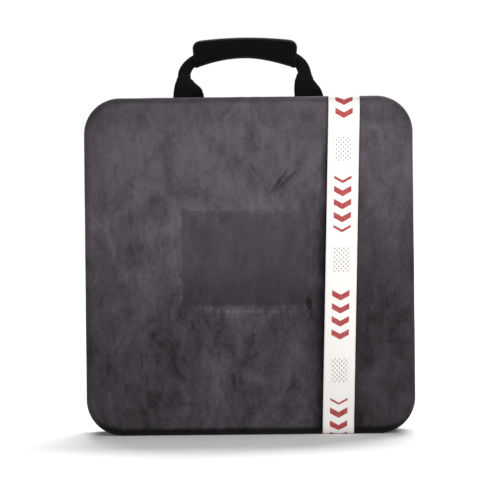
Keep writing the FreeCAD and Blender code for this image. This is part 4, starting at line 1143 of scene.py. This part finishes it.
class BAG_OT_handle(bpy.types.Operator):
    """Makes the handle: webbing legs that fold in three, sewn tabs with stitches, and the padded grip"""
    bl_idname = "bag.handle"
    bl_label = "Handle"

    def execute(self, context):
        sizes, colours = bag_settings()
        strap, thread = Surface(), Surface()
        for left in (True, False):
            line, spread = strap_points(sizes, left)
            tangents = unit(np.gradient(line, axis=0))
            hint = DEPTHWISE + UPWARDS
            up = unit(hint - (hint * tangents).sum(axis=-1, keepdims=True) * tangents)
            sections, coords = folded_sections(sizes, spread)
            sweep(strap, line, sections, np.cross(tangents, up), up, lengths_along(line), coords)
            self.tab_stitches(thread, sizes, -1 if left else 1)
        cloth = woven_finish("webbing", colours.webbing, 0.0016, 0.0022, 0.0003, 0.80)
        dress(strap.build("handle_strap"), "base", "webbing", cloth, "handle_webbing")
        dress(thread.build("tab_stitches"), "base", "webbing", thread_finish("tab_thread", colours))
        self.grip(sizes, colours)
        return {"FINISHED"}

    def tab_stitches(self, thread, sizes, side):
        """A box with a cross in it on a sewn tab."""
        inset, clear = 0.004, 0.008
        half = sizes.strap_width / 2 - inset
        near, far = HANDLE_Y + clear, HANDLE_Y + sizes.tab_length - inset
        x, z = side * sizes.strap_root, TOP_Z + sizes.strap_thick
        corners = np.array([(x - half, near, z), (x + half, near, z), (x + half, far, z), (x - half, far, z)])
        for a, b in ((0, 1), (1, 2), (2, 3), (3, 0), (0, 2), (1, 3)):
            stitch_row(thread, sizes, np.linspace(corners[a], corners[b], 8), UPWARDS)

    def grip(self, sizes, colours):
        """A padded sleeve: rounded sections between two arcs, drawn in at the ends and at two sewn rings."""
        rows, columns = 141, 72
        half_high, half_deep = sizes.grip_height / 2, (GRIP_HIGH[1] - GRIP_LOW[1]) / 2
        mid_z = GRIP_HIGH[2] - half_high
        x = sizes.grip_half * np.sin(np.linspace(-pi / 2, pi / 2, rows))
        left = sizes.grip_half - np.abs(x)

        def corner(radius):
            """How far a rounded end has drawn in, from the distance to the end."""
            near = np.clip(1 - left / radius, 0, 1)
            return radius * (1 - np.sqrt(1 - near ** 2))

        upper_round, lower_round, side_round = 0.0085, 0.0030, 0.0080
        sag, sag_run = 0.0010, 0.04
        seam_place, seam_width, seam_share = 0.0068, 0.0010, 0.022
        pad_share, splay_share = 0.015, 0.018
        upper = half_high - x ** 2 / (2 * sizes.grip_crown) - corner(upper_round)
        droop = sag * smooth(x / sag_run)
        lower = -half_high - x ** 2 / (2 * sizes.grip_saddle) + corner(lower_round) - droop
        deep = half_deep - corner(side_round)
        ring = 1 - seam_share * np.exp(-((left - seam_place) / seam_width) ** 2)
        pad = 1 + pad_share * waves(x, 0 * x, 31, shortest=0.02, longest=0.06)
        section = oval(1.0, 1.0, 0.62, columns)
        middle, half = ((upper + lower) / 2)[:, None], ((upper - lower) / 2 * ring)[:, None]
        z = middle + half * section[:, 1]
        y = (deep * ring * pad)[:, None] * section[:, 0]
        splay = 1 + splay_share * (z - middle) / half_high
        points = np.stack([x[:, None] * splay - sizes.handle_shift, HANDLE_Y + y, mid_z + z], axis=-1)
        girth = lengths_along(points[rows // 2])
        sleeve = Surface()
        sleeve.grid(points, girth, x[:, None])
        for end in (0, -1):
            sleeve.cap(points[end], girth, x[end])
        piece = sleeve.build("grip_sleeve")
        dress(piece, "base", "grip_cover", grip_finish(colours), "handle_grip")


def foam_cell(surface, sizes, cell, bay, outer_radii, front_y, back_y):
    """A ring of foam between a cell's outline and its bay, as a closed profile carried round the bay.

    The profile runs over the front with a low crown, round the bay's edge, down its wall and back behind.
    """
    steps = 44
    turn = loop_turns(steps)
    (cell_x, cell_z, cell_w, cell_h), (bay_x, bay_z, bay_w, bay_h) = cell, bay
    x, z = rounded_rectangle(turn, cell_w, cell_h, outer_radii)
    outer = np.stack([x + cell_x, z + cell_z], axis=-1)

    def bay_loop(offset):
        """The bay's outline, moved outwards by `offset`."""
        x, z = rounded_rectangle(turn, bay_w + offset, bay_h + offset, sizes.bay_round + offset)
        return np.stack([x + bay_x, z + bay_z], axis=-1)

    r, low_crown = sizes.foam_round, 0.0005
    edge_y = front_y + low_crown
    rows = [(outer, back_y)]
    rows += [(outer + (bay_loop(r) - outer) * share, edge_y - low_crown * sin(pi * share))
             for share in np.linspace(0, 1, 8)]
    rows += [(bay_loop(r * (1 - sin(angle))), edge_y + r * (1 - cos(angle)))
             for angle in np.linspace(0, pi / 2, 7)[1:]]
    rows += [(bay_loop(0.0), back_y), (outer, back_y)]
    surface.grid(np.stack([np.insert(flat, 1, y, axis=-1) for flat, y in rows]))


class BAG_OT_foam(bpy.types.Operator):
    """Makes the foam tray: a frame of three cells round their bays, and a sheet behind it"""
    bl_idname = "bag.foam"
    bl_label = "Foam tray"

    def execute(self, context):
        sizes, colours = bag_settings()
        finish = foam_finish(colours)
        low, high = node_box("foam_frame")
        radius = sizes.corner_radius - (HALF_WIDTH - high[0])
        foot, rib, case = sizes.foam_foot, sizes.foam_rib, sizes.case_height
        bay_half = HALF_WIDTH - sizes.foam_side
        case_mid = TOP_Z - sizes.foam_head - case / 2
        split = case_mid - case / 2 - rib / 2
        bay_top = split - rib / 2
        case_half = (bay_half - rib / 2) / 2
        frame_foam = Surface()
        # Cells and bays as middle x, middle z, half width and half height
        cell = (0.0, (low[2] + split) / 2, high[0], (split - low[2]) / 2)
        bay = (0.0, (foot + bay_top) / 2, bay_half, (bay_top - foot) / 2)
        foam_cell(frame_foam, sizes, cell, bay, (radius, radius, 0, 0), low[1], high[1])
        for sign, radii in ((-1, (0, 0, 0, radius)), (1, (0, 0, radius, 0))):
            cell = (sign * high[0] / 2, (split + high[2]) / 2, high[0] / 2, (high[2] - split) / 2)
            bay = (sign * (case_half + rib / 2), case_mid, case_half, case / 2)
            foam_cell(frame_foam, sizes, cell, bay, radii, low[1], high[1])
        piece = frame_foam.build("foam_tray_frame")
        dress(piece, "base", "foam", finish, "foam_frame")
        self.sheet(sizes, finish)
        return {"FINISHED"}

    def sheet(self, sizes, finish):
        """A flat pad behind the frame: a level front, straight sides and a rounded, crowned back."""
        low, high = node_box("foam_base_sheet")
        gap = HALF_WIDTH - high[0]
        steps, edge, chamfer, wave = 60, sizes.edge_radius - gap, 0.001, 0.0004
        turn, out = square_turns(steps)
        x, z = (out * part for part in outline(turn, gap + chamfer, sizes))
        front = np.stack([x, low[1] + wave * waves(x, z, 41), z + MID_Z], axis=-1)
        x, z = (out * part for part in outline(turn, gap + edge, sizes))
        back = np.stack([x, high[1] - crown(x, z, sizes), z + MID_Z], axis=-1)
        # Rows round the pad: two along its front edge, then round the edge of its back
        bend = np.linspace(pi / 2, 0, 7)
        inset = np.concatenate([[gap + chamfer, gap], gap + edge * (1 - np.sin(bend))])[:, None]
        depth = np.concatenate([[low[1], low[1] + chamfer], high[1] - edge * (1 - np.cos(bend))])[:, None]
        follow = np.concatenate([[0, 0], 0 * bend + 1])[:, None]
        lie = np.concatenate([[wave, 0], 0 * bend])[:, None]
        turn = loop_turns(steps)[None, :]
        x, z = outline(turn, inset, sizes)
        y = depth - follow * crown(*outline(turn, gap + edge, sizes), sizes) + lie * waves(x, z, 41)
        pad = Surface()
        pad.grid(front)
        pad.grid(np.stack([x, y, z + MID_Z], axis=-1))
        pad.grid(back)
        piece = pad.build("foam_back_pad")
        dress(piece, "base", "foam", finish, "foam_base_sheet")


class BAG_OT_pocket(bpy.types.Operator):
    """Makes the mesh pocket inside the lid, sewn round three sides and bulging inwards, and its bound hem"""
    bl_idname = "bag.pocket"
    bl_label = "Mesh pocket"

    def execute(self, context):
        sizes, colours = bag_settings()
        low, high = node_box("lid_mesh_pocket")
        half, foot, tall = high[0], low[2], (high[2] - low[2]) / 2
        steps, radius, thick = 110, sizes.pocket_round, sizes.mesh_thick
        mouth_round, sewn_run, seat, ease, wave = 0.004, 0.020, 0.0004, 0.0012, 0.0010
        radii = (radius, radius, mouth_round, mouth_round)

        def lie(x, z):
            """Depth of the mesh: a quarter circle up from the sewn edges to a level face with soft waves."""
            room = -outside_corner(np.abs(x) - half + radius, foot + radius - z, radius)
            lift = np.sqrt(1 - np.clip(1 - room / sewn_run, 0, 1) ** 2)
            lid_inside = FRONT_LOW[1] + sizes.wall + crown(x, z - MID_Z, sizes) + seat
            slack = ease + wave * waves(x, z, 51, shortest=0.04, longest=0.12)
            return lid_inside + (high[1] - slack - lid_inside) * lift

        turn, out = square_turns(steps)
        x, z = (out * part for part in rounded_rectangle(turn, half, tall, radii))
        ring_x, ring_z = rounded_rectangle(loop_turns(steps), half, tall, radii)
        z, ring_z = z + foot + tall, ring_z + foot + tall
        face, ring = lie(x, z), lie(ring_x, ring_z)
        upper_side, lower_side = (np.stack([x, face - lower, z], axis=-1) for lower in (0, thick))
        edges = np.stack([np.stack([ring_x, ring - lower, ring_z], axis=-1) for lower in (0, thick)])
        cloth = Surface()
        cloth.grid(upper_side, x, z)
        cloth.grid(lower_side, x, z)
        cloth.grid(edges, ring_x, ring_z)
        panel = cloth.build("mesh_pocket")
        dress(panel, "lid", "mesh", mesh_finish(sizes, colours), "lid_mesh_pocket")
        hem = self.hem(sizes, colours)
        return {"FINISHED"}

    def hem(self, sizes, colours):
        """A bound elastic edge: a flat rounded section along the pocket's mouth, gathered in small waves."""
        low, high = node_box("pocket_hem")
        _, mid_y, mid_z = (low + high) / 2
        _, half_y, half_z = (high - low) / 2
        gather_height, gather_pitch, wave, seam_drop = 0.00025, 0.0052, 0.0003, 0.0030
        x = np.linspace(low[0], high[0], 260)
        gathers = gather_height * np.sin(2 * pi * x / gather_pitch) + wave * waves(x, 0 * x, 61)
        path = np.stack([x, mid_y + gathers, mid_z + 0 * x], axis=-1)
        section = oval(half_y, half_z, 0.35, 20)
        band = Surface()
        sweep(band, path, section, DEPTHWISE, UPWARDS, x, section[:, 1])
        piece = band.build("pocket_binding")
        cloth = woven_finish("binding", colours.webbing, 0.0012, 0.0016, 0.0002)
        dress(piece, "lid", "webbing", cloth, "pocket_hem")
        seam = Surface()
        stitch_row(seam, sizes, path + half_y * DEPTHWISE - seam_drop * UPWARDS, DEPTHWISE)
        dress(seam.build("binding_stitches"), "lid", "webbing", thread_finish("binding_thread", colours))
        return piece


class BAG_OT_sliders(bpy.types.Operator):
    """Gives the zip sliders and pulls, which keep their own shapes, a plated finish"""
    bl_idname = "bag.sliders"
    bl_label = "Sliders and pulls"

    def execute(self, context):
        _, colours = bag_settings()
        metal = metal_finish(colours)
        for name in ("left_slider", "right_slider", "left_pull", "right_pull"):
            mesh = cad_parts[name].data
            mesh.materials.clear()
            mesh.materials.append(metal)
        return {"FINISHED"}


class BAG_OT_stage(bpy.types.Operator):
    """Makes the studio: a pale level floor, a soft front light, a broad back light and the camera"""
    bl_idname = "bag.stage"
    bl_label = "Studio"

    def execute(self, context):
        _, colours = bag_settings()
        scene = context.scene
        scene.view_settings.view_transform = "Standard"
        self.floor(colours)
        self.lights(scene)
        self.camera(scene)
        return {"FINISHED"}

    def floor(self, colours):
        """A wide level disc: rings of points about the bag."""
        angle = np.linspace(0, 2 * pi, 97)
        reach = np.array([0.0, 0.3, 0.8, 2.0, 6.0, 20.0, 60.0])[:, None]
        ground = Surface()
        below = -0.0002
        rings = np.broadcast_arrays(reach * np.cos(angle), reach * np.sin(angle), below)
        ground.grid(np.stack(rings, axis=-1))
        piece = ground.build("studio_floor")
        finish = Finish("studio_floor")
        grain = finish.noise(finish.place(), 6.0, 2.0, 0.5)
        tint = finish.shade(colours.floor, 0.985 + 0.03 * grain)
        piece.data.materials.append(finish.surface(
            Base_Color=tint, Roughness=0.9, Specular_IOR_Level=0.1, Emission_Color=(1.0, 1.0, 1.0),
            Emission_Strength=0.06))

    def lights(self, scene):
        """A white world that shows bright to the camera and lights the bag faintly, and two lamps."""
        world = bpy.data.worlds.new("studio")
        world.use_nodes = True
        nodes = Nodes(world.node_tree)
        white = (1.0, 1.0, 1.0, 1.0)
        glow, seen = (nodes.node("ShaderNodeBackground", None, {"Color": white, "Strength": strength})
                      for strength in (0.18, 1.02))
        to_camera = nodes.node("ShaderNodeLightPath", out="Is Camera Ray")
        mixed = nodes.node("ShaderNodeMixShader", None, {0: to_camera, 1: glow, 2: seen})
        nodes.node("ShaderNodeOutputWorld", None, {"Surface": mixed})
        scene.world = world
        for name, kind, place, aim, size, power in (
            ("front light", "AREA", (0.25, -2.4, 1.15), (0.0, -0.05, 0.24), 1.5, 42.6),
            ("back light", "SUN", (0.2, 1.5, 1.35), (0.0, 0.0, 0.0), radians(40), 4.7),
        ):
            lamp = bpy.data.lights.new(name, kind)
            lamp.energy = power
            if kind == "AREA":
                lamp.shape, lamp.size = "DISK", size
            else:
                lamp.angle = size
            item = bpy.data.objects.new(name, lamp)
            item.location = place
            item.rotation_euler = (Vector(aim) - Vector(place)).to_track_quat("-Z", "Y").to_euler()
            bpy.context.collection.objects.link(item)

    def camera(self, scene):
        """Level with the bag, far off with a long lens, and rolled as the photograph is."""
        lens = bpy.data.cameras.new("camera")
        lens.sensor_fit, lens.sensor_width = "HORIZONTAL", 36.0
        lens.lens = lens.sensor_width * VIEW_DISTANCE / VIEW_WIDTH
        lens.clip_end = 200.0
        item = bpy.data.objects.new("camera", lens)
        item.location = (VIEW_X, VIEW_PLANE - VIEW_DISTANCE, VIEW_Z)
        item.rotation_euler = (radians(90), VIEW_ROLL, 0.0)
        bpy.context.collection.objects.link(item)
        scene.camera = item


class BAG_PT_panel(bpy.types.Panel):
    """Lists the bag's pieces, sizes and colours in the sidebar"""
    bl_idname = "BAG_PT_panel"
    bl_label = "Console carrying bag"
    bl_space_type = "VIEW_3D"
    bl_region_type = "UI"
    bl_category = "Bag"

    def draw(self, context):
        for operator in OPERATORS:
            self.layout.operator(operator.bl_idname)
        for group in (context.scene.bag_sizes, context.scene.bag_colours):
            box = self.layout.box()
            for name in group.__annotations__:
                box.prop(group, name)


OPERATORS = (BAG_OT_front_shell, BAG_OT_rear_shell, BAG_OT_piping, BAG_OT_zip, BAG_OT_hinge, BAG_OT_ribbon,
             BAG_OT_handle, BAG_OT_foam, BAG_OT_pocket, BAG_OT_sliders, BAG_OT_stage)
CLASSES = (BagSizes, BagColours, *OPERATORS, BAG_PT_panel)


def register():
    for item in CLASSES:
        bpy.utils.register_class(item)
    bpy.types.Scene.bag_sizes = bpy.props.PointerProperty(type=BagSizes)
    bpy.types.Scene.bag_colours = bpy.props.PointerProperty(type=BagColours)


def unregister():
    del bpy.types.Scene.bag_sizes
    del bpy.types.Scene.bag_colours
    for item in reversed(CLASSES):
        bpy.utils.unregister_class(item)


def main():
    register()
    bpy.ops.bag.stage()
    bpy.ops.bag.front_shell()
    bpy.ops.bag.rear_shell()
    bpy.ops.bag.piping()
    bpy.ops.bag.zip()
    bpy.ops.bag.hinge()
    bpy.ops.bag.ribbon()
    bpy.ops.bag.handle()
    bpy.ops.bag.foam()
    bpy.ops.bag.pocket()
    bpy.ops.bag.sliders()


if __name__ == "__main__":
    main()
